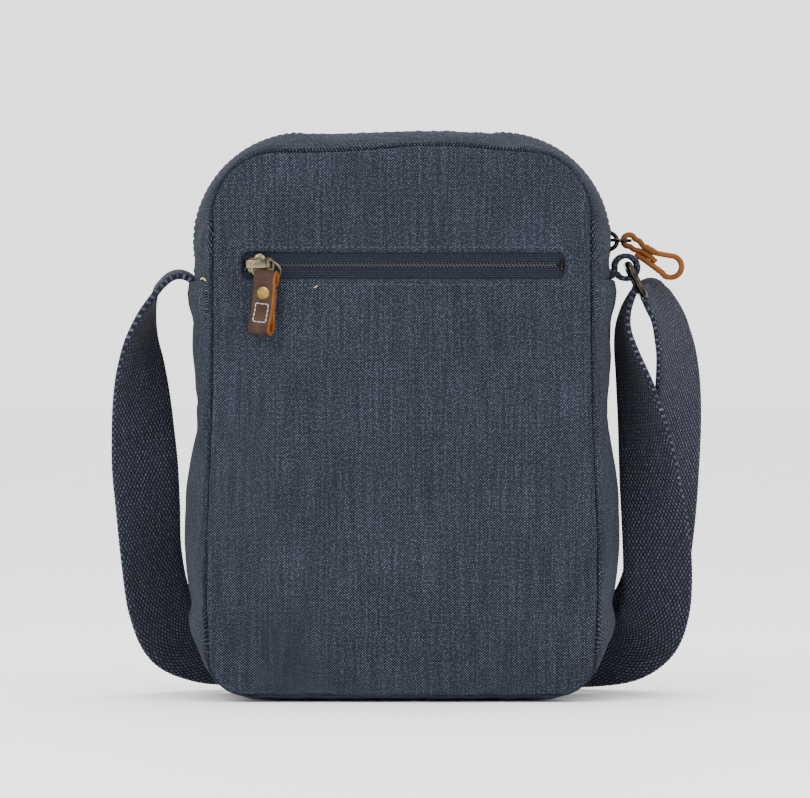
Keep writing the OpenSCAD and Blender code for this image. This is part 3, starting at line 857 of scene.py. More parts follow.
RIGHT_FRONT = [
    (56, 68, 17.6, 0, 0, -1),
    (72, 59, 17.2, 0.05, 0, -1),
    (88, 49.6, 17.6, 0.2, 0.08, -0.97),
    (102.3, 39.5, 19.8, 0.5, 0.15, -0.85),
    (112, 29, 27.5, 0.8, 0.1, -0.6),
    (116.2, 20, 41, 0.95, -0.05, -0.3),
    (116.8, 13, 58, 0.985, -0.15, -0.08),
    (115.6, 8, 77, 0.95, -0.3, 0),
    (113.4, 5, 95, 0.87, -0.5, 0),
    (111.3, 3, 112.5, 0.76, -0.65, 0),
    (108.8, 2, 128.5, 0.62, -0.78, 0),
    (105.8, 1, 143, 0.47, -0.88, 0),
    (102.3, 0.5, 157, 0.28, -0.96, 0),
    (100.6, 0, 168, 0.13, -0.99, 0),
    (101.4, 0, 175, 0.06, -1, 0),
    (103.2, 0, 180.4, 0.02, -1, 0),
]
RING_LOW = (109.7, 183.1)
THICK = 3.1
OVER = []
for k in range(9):
    a = math.radians(158 - 132 * k / 8)
    OVER.append((109.6 + 4.3 * math.cos(a), 0, 183.7 + 4.3 * math.sin(a), -0.03 - 0.045 * k, -1, -0.012 * k))
RIGHT_REAR = [
    (116.2, 0, 181.4, -0.44, -0.9, -0.06),
    (119.7, 1, 175.2, -0.47, -0.88, 0),
    (122.4, 2.5, 167.5, -0.5, -0.86, 0),
    (124.7, 5, 156, -0.55, -0.83, 0),
    (125.6, 9.5, 140, -0.64, -0.77, 0),
    (124.8, 14.6, 122, -0.73, -0.68, 0),
    (123.2, 20.6, 102, -0.8, -0.6, 0),
    (120.8, 27, 80, -0.86, -0.5, 0.06),
    (117.2, 34.6, 58, -0.87, -0.42, 0.25),
    (111.4, 42, 40.5, -0.76, -0.38, 0.52),
    (101, 50.6, 28, -0.52, -0.26, 0.81),
    (87.5, 58.4, 21, -0.24, -0.1, 0.96),
    (73, 66.8, 18.2, -0.05, 0, 1),
    (58, 75, 18, 0, 0, 1),
]
END_RUN = [(58, 75, 18), (46, 81.6, 18.9), (36, 85.9, 19.9), (28, 87.3, 20.5), (22, 87.3, 20.6),
           (15, 87.3, 20.6), (9, 86.6, 20.6), (5, 85.3, 20.6)]
END_ARC = [(2.85 * math.cos(math.radians(a)), RUN_Y + 2.85 * math.sin(math.radians(a)), RUN_Z)
           for a in np.linspace(70, 332, 12)]


def strap_piece(name, stations, width=32.0, thick=THICK, n=10, knot=0.012, **kw):
    line = spline_points(stations, n)
    if line.shape[1] == 3:
        line = np.hstack([line, np.tile([0.0, 0.0, -1.0], (len(line), 1))])
    return ribbon(name, line[:, :3], line[:, 3:], width, thick, WEBBING, step=0.6, knot=knot,
                  body=None, slot="webbing", side=9, **kw)


left_strap = strap_piece("strap_left", LEFT, replaces=["strap_anchor_left", "strap_leg_left"])
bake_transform(left_strap)
right_strap = strap_piece("strap_right_loop", RIGHT_FRONT + OVER + RIGHT_REAR,
                          replaces=["strap_wrap_right", "strap_leg_right_front", "strap_leg_right_rear"])
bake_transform(right_strap)
weave_left = strap_piece("strap_run_left", WEAVE_LEFT, thick=2.2, n=6, shift=300.0,
                         replaces=["strap_take_up_left", "adjuster_weave"])
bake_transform(weave_left)
weave_right = strap_piece("strap_run_right", WEAVE_RIGHT, thick=2.2, n=6, shift=380.0,
                          replaces=["strap_take_up_right"])
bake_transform(weave_right)
end_run = strap_piece("strap_sewn_end", END_RUN + END_ARC, thick=2.0, n=6, shift=460.0,
                      replaces=["strap_end_take_up", "strap_end_loop"])
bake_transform(end_run)

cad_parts["adjuster_frame"].data.materials.clear()
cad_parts["adjuster_frame"].data.materials.append(BRONZE)

# Sewing through the doubled end beside the adjuster: a box with two rows.
for k, x in enumerate((13.4, 16.4)):
    rows = [(x, RUN_Y + 8.35, RUN_Z + z) for z in np.linspace(-13, 13, 12)]
    stitches("strap_end_stitches_%d" % k, rows, [(0, 1, 0)] * 12, 2.6, 2.0, 0.32, THREAD,
             body="adjuster", slot="webbing")


# ---------- the ring and the canvas loop that holds it ----------

def loop_of(cx, cz, r, start, a0, a1, end):
    arc = [(cx + r * math.cos(math.radians(a)), cz + r * math.sin(math.radians(a)))
           for a in np.linspace(a0, a1, 17)]
    return np.array(start + arc + end)


LOOP = loop_of(101.7, 196, 5.2, [(91.5, 191.0), (94.2, 191.4)], -148, 192, [(95.0, 193.8), (91.5, 193.6)])
loop_line = spline_points(np.stack([LOOP[:, 0], np.zeros(len(LOOP)), LOOP[:, 1]], 1), 3)
ring_loop = ribbon("ring_loop_canvas", loop_line, np.tile([0.0, -1.0, 0.0], (len(loop_line), 1)), 31.0, 2.3,
                   WEBBING, step=0.5, knot=0.006, slot="canvas", replaces=["ring_loop"])


def rounded_loop(a, b, half, r, n=7):
    """A rectangle with rounded corners whose two long rods lie along Y through a and b."""
    a, b = np.array(a, float), np.array(b, float)
    u = unit(b - a)
    y = np.array([0.0, 1.0, 0.0])
    out = []
    for c, su, sy, a0 in ((b, -1, 1, 0), (a, 1, 1, 90), (a, 1, -1, 180), (b, -1, -1, 270)):
        centre = c + su * r * u + sy * (half - r) * y
        for k in range(n):
            t = math.radians(a0 + 90 * k / (n - 1))
            out.append(centre + r * (math.cos(t) * u + math.sin(t) * y))
    return np.array(out)


ring_path = rounded_loop((102.6, 0, 197.0), (*RING_LOW[:1], 0, RING_LOW[1]), 18.2, 3.4)
closed_ring = np.vstack([ring_path, ring_path[:1]])
ring_even, _ = even(closed_ring, 1.0)
tube("strap_ring_metal", ring_even[:-1], 1.68, BRONZE, closed=True, around=16, slot="brass",
     replaces=["strap_ring"])


# ---------- the canvas patches where the strap is sewn in ----------

def tab(name, s, low, high, node, rows_z):
    """A second layer over the gusset's whole width, thicker where the webbing's end lies under it."""
    cols = [c for c in range(COUNT) if s * CROWN[c, 0] > 80 and low - 3.4 < CROWN[c, 1] < high + 3.4]
    cols.sort(key=lambda c: CROWN[c, 1])
    zs = np.array([CROWN[c, 1] for c in cols])
    want = np.linspace(low, high, 24)
    ys = np.linspace(-32.4, 32.4, 45)
    pts, uv = [], []
    for z in want:
        for y in ys:
            grid_row = []
            for r in range(len(ROWS)):
                col = np.array([soft[r * COUNT + c] for c in cols])
                nor = np.array([NORMALS[r * COUNT + c] for c in cols])
                grid_row.append([np.interp(z, zs, col[:, 0]), np.interp(z, zs, nor[:, 0]),
                                 np.interp(z, zs, nor[:, 1])])
            g = np.array(grid_row)
            x = np.interp(y, ROWS, g[:, 0])
            nx, ny = np.interp(y, ROWS, g[:, 1]), np.interp(y, ROWS, g[:, 2])
            t = (z - low) / (high - low)
            lift = (0.15 + 1.0 * min(1, t * 3)
                    + 1.9 * math.exp(-((z - (high - 6)) / 7.5) ** 2) * (1 - (y / 34) ** 4))
            for rz in rows_z:
                lift -= 0.35 * math.exp(-((z - rz) / 0.7) ** 2)
            side = max(0.0, (abs(y) - 31.2) / 1.2)
            lift -= 0.5 * side ** 2
            if z > high - 0.8:
                lift -= 0.5 * ((z - high + 0.8) / 0.8) ** 2
            pts.append((x + lift * nx, y + lift * ny * 0.4, z))
            uv.append((y, z))
    n = len(ys)
    faces = grid_faces(len(want), n)
    if s < 0:
        faces = [f[::-1] for f in faces]
    outer = np.array(pts)
    inner = outer - [s * 1.3, 0, 0]
    m = len(outer)
    top_row = len(want) - 1
    rim_line = (list(range(n)) + [i * n + n - 1 for i in range(1, top_row + 1)]
                + [top_row * n + i for i in range(n - 2, -1, -1)]
                + [i * n for i in range(top_row - 1, 0, -1)])
    rim = []
    for i in range(len(rim_line)):
        a, b = rim_line[i], rim_line[(i + 1) % len(rim_line)]
        q = (a, b, b + m, a + m)
        rim.append(q if s < 0 else q[::-1])
    piece(name, np.concatenate([outer, inner]), backed(faces, m) + rim, CANVAS, np.concatenate([uv, uv]),
          slot="canvas", replaces=[node], levels=1)
    for k, rz in enumerate(rows_z):
        i = int(np.argmin(np.abs(want - rz)))
        line = outer[i * n + 1:(i + 1) * n - 1] + [s * 0.12, 0, 0]
        stitches(name + "_stitches_%d" % k, line, np.tile([s * 1.0, 0, 0], (len(line), 1)), 3.0, 2.2, 0.34,
                 THREAD_DARK, slot="canvas")
    up = outer.reshape(len(want), n, 3)[10:-1, 2]
    stitches(name + "_stitches_side", up, np.tile([s * 0.5, -1.0, 0], (len(up), 1)), 2.6, 1.9, 0.3,
             THREAD, slot="canvas")


tab("tab_left_canvas", -1, 171, 189.8, "strap_tab_left", (186.3, 181.8))
tab("tab_right_canvas", 1, 171, 190.4, "strap_tab_right", (188.0, 182.7))


# ---------- zips ----------

TOOTH_GAP = 0.785  # the two sides' teeth alternate, so those of one side are twice this apart
REAR_ZIP_Z = 197


def zip_teeth(name, frames, replaces, wide, r):
    base, faces = capsule(wide, r, 0.9, 8, 3)
    copies(name, base, faces, frames, COIL, body="bag", slot="zip_coil", replaces=replaces)


def tape_relief(z):
    """How far a flat zip's tape stands out at height z from the chain: beside the teeth, and at two ribs."""
    return (0.35 * math.exp(-((abs(z) - 1.2) / 1.1) ** 2) + 0.3 * math.exp(-((z + 3.1) / 0.35) ** 2)
            + 0.15 * math.exp(-((z - 3.4) / 0.35) ** 2))


def flat_zip(where, win, y, s):
    """Tapes, chain and stops of a zip behind a window, facing s along Y at depth y."""
    cx, cz, w, _, _ = win
    mid = REAR_ZIP_Z if s < 0 else cz
    for part, lo, hi in (("upper", 0.15, 11.5), ("lower", -11.5, -0.15)):
        xs = np.linspace(cx - w / 2 - 4, cx + w / 2 + 4, 60)
        zs = np.linspace(lo, hi, 24)
        pts, uv = [], []
        for z in zs:
            for x in xs:
                sway = 0.12 * math.sin(x / 9.0 + z) * math.sin(x / 23.0)
                pts.append((x, y + s * (tape_relief(z) + sway), mid + z))
                uv.append((x, z))
        faces = grid_faces(len(zs), len(xs))
        if s > 0:
            faces = [f[::-1] for f in faces]
        outer = np.array(pts)
        inner = outer - [0, s * 0.6, 0]
        piece("%s_zip_tape_%s_woven" % (where, part), np.concatenate([outer, inner]),
              backed(faces, len(outer)), TAPE, np.concatenate([uv, uv]), slot="zip_tape",
              replaces=["%s_tape_%s" % (where, part)])
    frames = []
    lean = -0.3
    for k in range(int((w - 5) / TOOTH_GAP)):
        x = cx - w / 2 + 2.5 + TOOTH_GAP * k
        up = 1 if k % 2 else -1
        frames.append(((x, y + s * 0.75, mid + up * 0.34), (lean, 0, 1), (1, 0, -lean), (0, s, 0)))
    zip_teeth(where + "_zip_teeth", frames, [where + "_coil"], 1.6, 0.3)
    bars, faces = capsule(5.2, 0.85, 0.9, 10, 4)
    ends = [((cx + e * (w / 2 - 1.1), y + s * 0.7, mid), (0, 0, 1), (1, 0, 0), (0, s, 0)) for e in (-1, 1)]
    copies(where + "_zip_stops", bars, faces, ends, BRONZE, slot="brass", replaces=[where + "_zip_stops"])


flat_zip("rear", REAR_WINDOW, -33.55, -1)


def window_stitches(name, win, grow, y_at, s, pitch=2.8, length=1.8):
    ring = window_ring(win, grow, 5)
    ring = ring + ring[:1]
    line = [(x, y_at(x, z), z) for x, z in ring]
    stitches(name, line, [(0, s, 0)] * len(line), pitch, length, 0.27, THREAD, slot="canvas")


def rear_surface(x, z):
    """Depth of the settled rear panel at a place, from its nearest point."""
    i = int(np.argmin((REAR_FLAT[:, 0] - x) ** 2 + (REAR_FLAT[:, 2] - z) ** 2))
    return REAR_FLAT[i, 1]


REAR_FLAT = soft[n_gusset:n_gusset + n_rear]
window_stitches("rear_window_stitches", REAR_WINDOW, 2.7, lambda x, z: rear_surface(x, z) - 0.04, -1)

# The main zip over the top: teeth along the middle row of the gusset.
MID_ROW = list(ROWS).index(0)
mid_line = np.array([[*soft[MID_ROW * COUNT + c], *NORMALS[MID_ROW * COUNT + c]]
                     for c in range(COUNT) if UPPER[c]])
chain, _ = even(mid_line, TOOTH_GAP)
frames = []
for k in range(3, len(chain) - 3):
    run = unit(chain[k + 1, :3] - chain[k - 1, :3])
    up = unit(chain[k, 3:])
    side = np.cross(run, up)
    shift = 0.62 if k % 2 else -0.62
    frames.append((chain[k, :3] - 1.15 * up + shift * side, side, run, up))
zip_teeth("main_zip_teeth", frames, ["main_coil_back", "main_coil_front"], 2.7, 0.36)
bars, faces = capsule(5.4, 0.9, 0.9, 10, 4)
ends = []
for k in (2, len(chain) - 3):
    up = unit(chain[k, 3:])
    run = unit(chain[k + 1, :3] - chain[k - 1, :3])
    ends.append((chain[k, :3] - 1.1 * up, np.cross(run, up), run, up))
copies("main_stops", bars, faces, ends, BRASS, slot="brass", replaces=["main_zip_stops"])

# Topstitching beside the main zip.
for name, y in (("main_zip_stitches_back", -13.4), ("main_zip_stitches_front", 13.4)):
    r = int(np.argmin(np.abs(ROWS - y)))
    line = np.array([[*soft[r * COUNT + c], *NORMALS[r * COUNT + c]] for c in range(COUNT) if UPPER[c]])
    stitches(name, line[:, :3], line[:, 3:], 3.2, 2.2, 0.3, THREAD, lift=-0.14, slot="canvas")


# ---------- sliders, links and pulls ----------

def plate(name, outline, low, high, bevel, place, axes, material, **kw):
    """A bevelled flat plate; axes are its X, Y and Z in the row frame."""
    o = np.asarray(outline, float)
    centre = o.mean(0)
    reach = np.abs(o - centre).max()
    inset = centre + (o - centre) * (1 - bevel / reach)
    rings = [(inset, low), (o, low + bevel), (o, high - bevel), (inset, high)]
    pts = np.concatenate([np.hstack([q, np.full((len(q), 1), z)]) for q, z in rings])
    n = len(o)
    faces = grid_faces(4, n, True) + end_caps(4, n)
    ax = np.asarray(axes, float)
    if np.linalg.det(ax) < 0:
        faces = [list(f)[::-1] for f in faces]
    world = np.asarray(place) + pts @ ax
    return piece(name, world, faces, material, smooth=False, **kw)


def oval(centre, u, v, a, b, n=48):
    t = 2 * pi * np.arange(n) / n
    return (np.asarray(centre) + np.cos(t)[:, None] * a * np.asarray(u)
            + np.sin(t)[:, None] * b * np.asarray(v))


EYE, PULL_W, PULL_T = 2.7, 10.8, 1.8


def pull_ring(where, path, radius, material):
    tube(where + "_pull_ring", path, radius, material, closed=True, body=where + "_pull", slot="brass",
         replaces=[where + "_link"])


def pull_line(reach, end_r, thick, wrapped):
    """The strip's own line, from its eye at the origin down to its end loop. A wrapped one passes the waist
    three times."""
    i = thick / 2 + 0.05
    turn = np.radians(np.linspace(-40, 220, 15)) if wrapped else np.radians(np.linspace(-62, 236, 17))
    eye_w, eye_h = (EYE, EYE) if wrapped else (2.1, 3.1)
    arc = [(eye_w * math.cos(a), eye_h * math.sin(a)) for a in turn]
    loop = [(end_r * math.cos(math.radians(a)), -reach + end_r * math.sin(math.radians(a)))
            for a in np.linspace(150, 388, 15)]
    if wrapped:
        start = [(i + 0.7, -15.4), (i, -12.6), (i, -9.4), (i + 0.1, -6.6), (i + 1.0, -4.2)]
        down = [(-i - 1.0, -4.2), (-i - 0.1, -6.6), (-i, -9.6), (-i - 0.1, -12.4)]
        up = [(3 * i + 0.2, -13.4), (3 * i, -10.8), (3 * i, -8.4), (3 * i + 0.1, -5.6)]
        return spline_points(np.array(start + arc + down + loop + up), 4)
    down = [(-i, -5.4), (-i, -9), (-i, -11.6), (-i - 0.2, end_r + 4.0 - reach)]
    up = [(i + 0.2, end_r + 4.0 - reach), (i, -11.6), (i, -9), (i, -4.4)]
    return spline_points(np.array(arc + down + loop + up), 4)


def leather_pull(name, reach, end_r, eye, along, out, across, rivet_at, face_first, thick=PULL_T,
                 wrapped=False):
    """Folded leather strip. along points down the pull, out away from the bag, across is its width."""
    along, out, across = (unit(np.asarray(v, float)) for v in (along, out, across))
    line = pull_line(reach, end_r, thick, wrapped)
    eye = np.asarray(eye, float)
    world = eye + line[:, :1] * out * face_first - line[:, 1:2] * along
    edge = np.tile(across, (len(world), 1))

    def marks(at):
        return 0 if at[1] * face_first < 0.35 - thick / 2 and abs(at[0]) < PULL_W / 2 - 0.7 else 1

    ribbon(name + "_leather", world, edge, PULL_W, thick, [HIDE, HIDE_EDGE], step=0.35, side=7, marks=marks,
           body=name, slot="leather", replaces=[name])
    cap, faces = lathe([(2.95, 0), (2.95, 0.35), (2.7, 0.62), (2.1, 0.74), (0.9, 0.8), (0.05, 0.81)])
    # A thin dark disc a little wider than each rivet cap, under it: painted shadow round the cap.
    ring, shadow_disc_faces = lathe([(3.35, 0), (3.35, 0.1), (2.7, 0.14), (0.1, 0.14)])
    places = []
    layers = {1: thick * (1.55 if wrapped else 1) + 0.02, -1: thick + 0.02}
    for s in (1, -1):
        n = out * s
        x = unit(np.cross(along, n))
        places.append((eye + rivet_at * along + n * layers[s], x, np.cross(n, x), n))
    copies(name + "_rivet_caps", cap, faces, places, BRASS_CAP, body=name, slot="brass",
           replaces=[name + "_rivet"])
    copies(name + "_rivet_painted_shadow_rings", ring, shadow_disc_faces, places, SHADOW, body=name, slot="leather")
    side = line[line[:, 0] * face_first > 0.3]
    side = side[np.argsort(-side[:, 1])]

    def outer(d):
        return np.interp(d, -side[:, 1], side[:, 0] * face_first) + thick / 2 + 0.08

    # A plain sewn box in short stitches.
    half, top, low, n = 3.1, rivet_at + 4.9, rivet_at + 13.1, 0
    corners = [(-half, top), (half, top), (half, low), (-half, low), (-half, top)]
    for (a0, d0), (a1, d1) in zip(corners, corners[1:]):
        count = round(math.hypot(a1 - a0, d1 - d0) / 2.05)
        for i in range(count):
            pts = []
            for t in np.linspace(0, 1, 7):
                f = (i + 0.14 + 0.72 * t) / count
                d = d0 + (d1 - d0) * f
                sink = 0.25 * (2 * t - 1) ** 4
                pts.append(eye + along * d + out * (outer(d) - sink) + across * (a0 + (a1 - a0) * f))
            tube("%s_stitch_%d" % (name, n), pts, 0.24, THREAD_GREY, body=name, slot="leather")
            n += 1


def turned(v, axis, degrees):
    return np.array(Matrix.Rotation(math.radians(degrees), 3, Vector(axis)) @ Vector(v))


def slider_plate(name, high, place, axes, material):
    plate(name + "_plate", rounded_rect(0, 0, 6, high / 2, 2.6, 6), 0, 1.9, 0.35, place, axes, material,
          body=name, slot="brass", replaces=[name])


def crown_band(name, place, axes, foot=5.9, high=5.4, wide=3.9, thick=0.9):
    """An arched band: from foot to foot along X, high along Z, wide along Y."""
    side = [(foot, 0.4), (foot - 0.1, high * 0.55), (foot - 1.3, high * 0.9), (foot - 3.2, high)]
    pts = [(-x, 0, z) for x, z in side] + [(x, 0, z) for x, z in side[::-1]]
    ax = np.asarray(axes, float)
    world = np.asarray(place) + spline_points(np.array(pts), 6) @ ax
    ribbon(name + "_crown", world, np.tile(ax[1], (len(world), 1)), wide, thick, BRASS, step=0.35, side=5,
           body=name, slot="brass")


def flat_slider(name, high, plate_at, crown_at, dome_at, axes):
    """A plate, a crown band that stands along the chain, and a domed nose."""
    slider_plate(name, high, plate_at, axes, BRASS)
    crown_band(name, crown_at, axes)
    dome, faces = lathe([(2.9, 0), (2.9, 0.5), (2.5, 1.0), (1.7, 1.4), (0.8, 1.6), (0.05, 1.65)], 28)
    copies(name + "_dome", dome, faces, [(dome_at, *axes)], BRASS, body=name, slot="brass")


REAR_AXES = [(1, 0, 0), (0, 0, 1), (0, -1, 0)]
FRONT_AXES = [(1, 0, 0), (0, 0, 1), (0, 1, 0)]
rear_y = -34.5
flat_slider("rear_slider", 7.6, (-63.5, rear_y, REAR_ZIP_Z), (-64.5, rear_y, 197.5),
            (-64.0, rear_y - 1.7, 199.6), REAR_AXES)
TURN = 22
across = turned((1, 0, 0), (0, 0, 1), -TURN)
out = turned((0, -1, 0), (0, 0, 1), -TURN)
along = unit(np.array([-0.105, 0, -1.0]))
across = unit(across - across.dot(along) * along)
out = unit(np.cross(across, along))
out = out if out[1] < 0 else -out
rear_eye = np.array([-60.9, -41.4, 190.9])
leather_pull("rear_pull", 21.5, 2.9, rear_eye, along, out, across, 6.4, -1)
pull_ring("rear", oval((-61.0, -40.4, 194.9), (1, 0, -0.12), (0, 0.12, 1), 6.5, 4.7), 0.5, BRASS)

# Main slider: it rides the crown's corner; its bridge is seen as a C from the rear.
slider_plate("main_slider", 7.6, (93.0, 0, 208.3), [(0, 0, 1), (0, 1, 0), (1, 0, 0)], BRONZE)
arc = [(93.4 + 4.4 * math.cos(t), 0, 207.9 + 3.9 * math.sin(t)) for t in np.linspace(-1.75, 1.75, 18)]
ribbon("main_slider_crown", arc, np.tile([0.0, 1.0, 0.0], (18, 1)), 4.0, 2.0, BRONZE, step=0.35, side=5,
       body="main_slider", slot="brass")
slope = math.radians(32)
m_along = np.array([math.cos(slope), 0, -math.sin(slope)])
m_out = np.array([-math.sin(slope), 0, -math.cos(slope)])
leather_pull("main_pull", 22.3, 4.9, (103.3, 0, 208.1), m_along, m_out, (0, 1, 0), 10.6, 1, 2.4, True)
pull_ring("main", oval((99.2, 0, 208.2), (1, 0, -0.03), (0, 1, 0), 4.6, 6.5), 0.78, BRONZE)


# ---------- front patch pocket ----------

POCKET_Y = 35.1  # where the pocket's sides stand on the front panel


def front_pocket():
    w, h, r, z0 = 150, 138, 16, 20
    ring = np.array(densify(rounded_rect(0, z0 + h / 2, w / 2, h / 2, r, 10, CORNERS[3:] + CORNERS[:3])))
    n = len(ring)
    inn = inward(ring)
    steps = [(-4.5, 0.3), (-4.3, 0.8), (-0.6, 0.9), (0, 1.6), (0.0, 4.6), (0.3, 6.4), (1.1, 7.7), (2.4, 8.3),
             (4.2, 8.5), (6.6, 8.6)]
    rings = [ring + inn * d for d, _ in steps]
    inner, tris, _ = fill(rings[-1], FRONT_WINDOW)
    pts = [np.stack([q[:, 0], np.full(n, POCKET_Y + y), q[:, 1]], 1)
           for q, (_, y) in zip(rings[:-1], steps[:-1])]
    deep = []
    for x, z in inner:
        d = box_distance(x, z, *FRONT_WINDOW)
        y = steps[-1][1] + 0.5 * math.sin(x / 31.0 + 0.6) * math.sin(z / 24.0) * min(1, max(d, 0) / 14)
        y -= window_dip(d)
        deep.append((x, POCKET_Y + y, z))
    points = np.concatenate(pts + [np.array(deep)])
    faces = grid_faces(len(rings) - 1, n, True)
    last = (len(rings) - 2) * n
    faces += [(last + i, last + (i + 1) % n, last + n + (i + 1) % n, last + n + i) for i in range(n)]
    faces += [[last + n + i for i in f] for f in tris]
    faces = [list(f)[::-1] for f in faces]
    m = len(points)
    inner_side = points + [0, -1.4, 0]
    uv = points[:, [0, 2]]
    piece("front_pocket_canvas", np.concatenate([points, inner_side]), backed(faces, m), CANVAS,
          np.concatenate([uv, uv]), slot="canvas", replaces=["front_pocket"], levels=1)
    edge = ring + inn * -2.6
    line = [(x, POCKET_Y + 0.95, z) for x, z in edge]
    stitches("front_pocket_stitches", line + line[:1], [(0, 1, 0)] * (n + 1), 3.3, 2.3, 0.3, THREAD,
             slot="canvas")


front_pocket()
window_stitches("front_window_stitches", FRONT_WINDOW, 2.7, lambda x, z: POCKET_Y + 8.5, 1)
flat_zip("front", FRONT_WINDOW, 42.0, 1)
front_y = 43.5
flat_slider("front_slider", 7.4, (50, front_y - 0.2, 136), (51, front_y, 136.4), (50.7, front_y + 1.7, 139.0),
            FRONT_AXES)
leather_pull("front_pull", 21.5, 2.9, (48.5, 49.2, 129.8), (0, 0.03, -1), (0, 1, 0), (-1, 0, 0), 6.4, -1)
pull_ring("front", oval((48.4, 49.0, 134.2), (1, 0, 0), (0, -0.1, 1), 6.5, 5.0), 0.5, BRASS)


# ---------- inside: lining, pouch and slip pocket ----------

def inner_lining():
    inside = soft - 3.6 * NORMALS
    inside[:, 2] = np.maximum(inside[:, 2], 2.4)
    keep = []
    for r in range(len(ROWS) - 1):
        for c in range(COUNT):
            under_zip = UPPER[c] and UPPER[(c + 1) % COUNT] and ROWS[r] >= -11.1 and ROWS[r + 1] <= 11.1
            if not under_zip:
                keep.append(gusset_faces[r * COUNT + c])
    uv_all = np.concatenate([gusset_uv(np.arange(n_gusset)), soft[n_gusset:][:, [0, 2]]])

    def build(name, faces, nodes, points):
        p, f, used = cut(faces, points)
        piece(name, p, [g[::-1] for g in f], LINING, uv_all[used], slot="lining", replaces=nodes)

    build("lining_gusset_cloth", keep, ["lining_gusset"], inside)
    rear_in = inside + [0, 6.6, 0]
    build("lining_rear_cloth", rear_faces, ["lining_back"], np.where(soft[:, 1:2] < -33, rear_in, inside))
    build("lining_front_cloth", front_faces, ["lining_front"], inside)


inner_lining()


def soft_bag(name, x0, x1, y0, y1, z0, z1, node):
    """A flat pouch with an open top: two layers joined at sides and bottom."""
    xs = np.linspace(x0, x1, 30)
    zs = np.linspace(z0, z1, 26)
    pts, uv, faces = [], [], []
    for layer in (0, 1):
        start = len(pts)
        for z in zs:
            for x in xs:
                u, v = (x - x0) / (x1 - x0), (z - z0) / (z1 - z0)
                open_by = math.sin(pi * u) ** 0.5 * min(1, v * 6)
                mid = (y0 + y1) / 2
                half = (y1 - y0) / 2 * open_by * (0.8 + 0.2 * math.sin(x / 13 + z / 17))
                y = mid + half if layer else mid - half
                pts.append((x, y, z))
                uv.append((x, z))
        f = grid_faces(len(zs), len(xs), False, start)
        faces += f if layer == 0 else [g[::-1] for g in f]
    piece(name, pts, faces, LINING, uv, slot="lining", replaces=[node])


soft_bag("rear_pouch_cloth", -75.8, 75.8, -31.0, -27.0, 62.2, 184, "rear_pouch")
soft_bag("inner_slip_pocket_cloth", -59.8, 59.8, 27.6, 31.0, 60.2, 150, "inner_slip_pocket")


# Two loose thread ends, one at the left patch and one on the rear panel.
tube("thread_end_left",
     [(-90.6, -31.2, 190.6), (-89.8, -32.6, 191.3), (-88.9, -33.4, 190.7), (-88.4, -33.8, 189.9)],
     0.3, THREAD_YELLOW, slot="canvas")
lint_y = rear_surface(-38.7, 187.2) - 0.15
tube("thread_end_panel", [(-39.6, lint_y, 186.8), (-38.9, lint_y - 0.15, 187.2), (-38.0, lint_y, 187.7)],
     0.26, THREAD_YELLOW, slot="canvas")


# ---------- what each cloth piece was cut from ----------

def length_of(line):
    return float(np.linalg.norm(np.diff(np.asarray(line, float)[:, :3], axis=0), axis=1).sum())


def ring_area(ring):
    x, z = np.asarray(ring, float).T
    return 0.5 * abs(float(np.dot(x, np.roll(z, -1)) - np.dot(z, np.roll(x, -1))))


def across_gusset(y0, y1):
    """The developed width of the gusset between two rows, at the middle of the left side."""
    c = int(np.argmin(np.hypot(CROWN[:, 0] + 94, CROWN[:, 1] - 120)))
    rows = [r for r in range(len(ROWS)) if y0 <= ROWS[r] <= y1]
    return length_of([sack[r * COUNT + c] for r in rows])


TOP_RUN = length_of([[*CROWN[c], 0] for c in range(COUNT) if UPPER[c]])
LOW_RUN = float(RUN[-1]) + float(np.linalg.norm(CROWN[0] - CROWN[-1])) - TOP_RUN
PANEL = (2 * float(SEAM[:, 0].max()) + 1, float(SEAM[:, 1].max() - SEAM[:, 1].min()) + 1)
REAR_AREA = ring_area(SEAM) - REAR_WINDOW[2] * REAR_WINDOW[3]

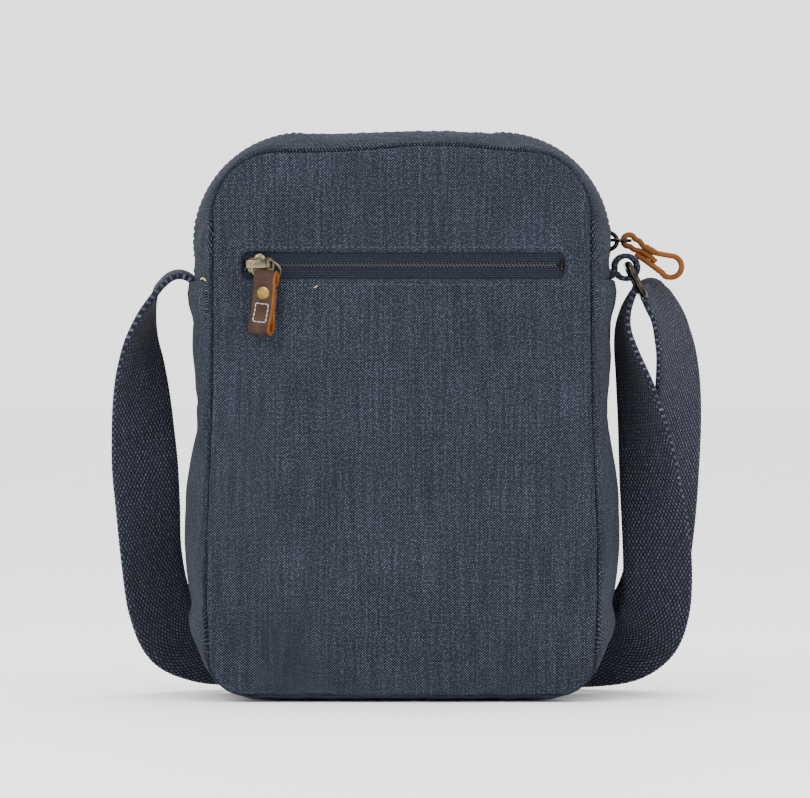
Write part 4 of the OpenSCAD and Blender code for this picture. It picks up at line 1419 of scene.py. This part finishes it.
for obj, wide, long, how, area in (
        (rear_panel, *PANEL, "stretched", REAR_AREA),
        (front_panel, *PANEL, "stretched", ring_area(SEAM)),
        (lower_gusset, across_gusset(-34, 34), LOW_RUN, "stretched", None),
        (gusset_back, across_gusset(-34, -11), TOP_RUN, "stretched", None),
        (gusset_front, across_gusset(11, 34), TOP_RUN, "stretched", None),
        (tape_back, 10.6, TOP_RUN, "stretched", None),
        (tape_front, 10.6, TOP_RUN, "stretched", None),
        (left_strap, 32, length_of(spline_points(LEFT, 10)), "hung", None),
        (right_strap, 32, length_of(spline_points(RIGHT_FRONT + OVER + RIGHT_REAR, 10)), "hung", None),
        (weave_left, 32, length_of(spline_points(WEAVE_LEFT, 6)), "hung", None),
        (weave_right, 32, length_of(spline_points(WEAVE_RIGHT, 6)), "hung", None),
        (end_run, 32, length_of(spline_points(END_RUN + END_ARC, 6)), "folded", None),
        (ring_loop, 31, length_of(loop_line), "folded", None)):
    None if area is None else min(area, wide * long) * 1e-6
    print("flat", obj.name, round(wide, 1), round(long, 1))


# ---------- floor and light ----------

def floor_and_light():
    n = Net("floor_pale")
    n.set((0.96, 0.96, 0.96), Roughness=0.6, Specular_IOR_Level=0.2)
    data = bpy.data.meshes.new("floor")
    data.from_pydata([(-6, -6, 0), (6, -6, 0), (6, 6, 0), (-6, 6, 0)], [], [(0, 1, 2, 3)])
    data.materials.append(n.mat)
    floor = bpy.data.objects.new("floor", data)
    scene.collection.objects.link(floor)
    world = bpy.data.worlds.new("studio")
    world.use_nodes = True
    world.node_tree.nodes["Background"].inputs[0].default_value = (1, 1, 1, 1)
    world.node_tree.nodes["Background"].inputs[1].default_value = 2.2
    scene.world = world
    lights = (("key", (-0.75, -1.1, 1.15), 0.9, 16), ("fill", (1.1, -0.9, 0.7), 1.0, 5),
              ("top", (0.1, 0.1, 1.5), 1.0, 9))
    for name, place, size, power in lights:
        light = bpy.data.lights.new(name, "AREA")
        light.energy = power
        light.size = size
        obj = bpy.data.objects.new(name, light)
        scene.collection.objects.link(obj)
        obj.location = place
        aim(obj, (0, 0, 0.13))


floor_and_light()
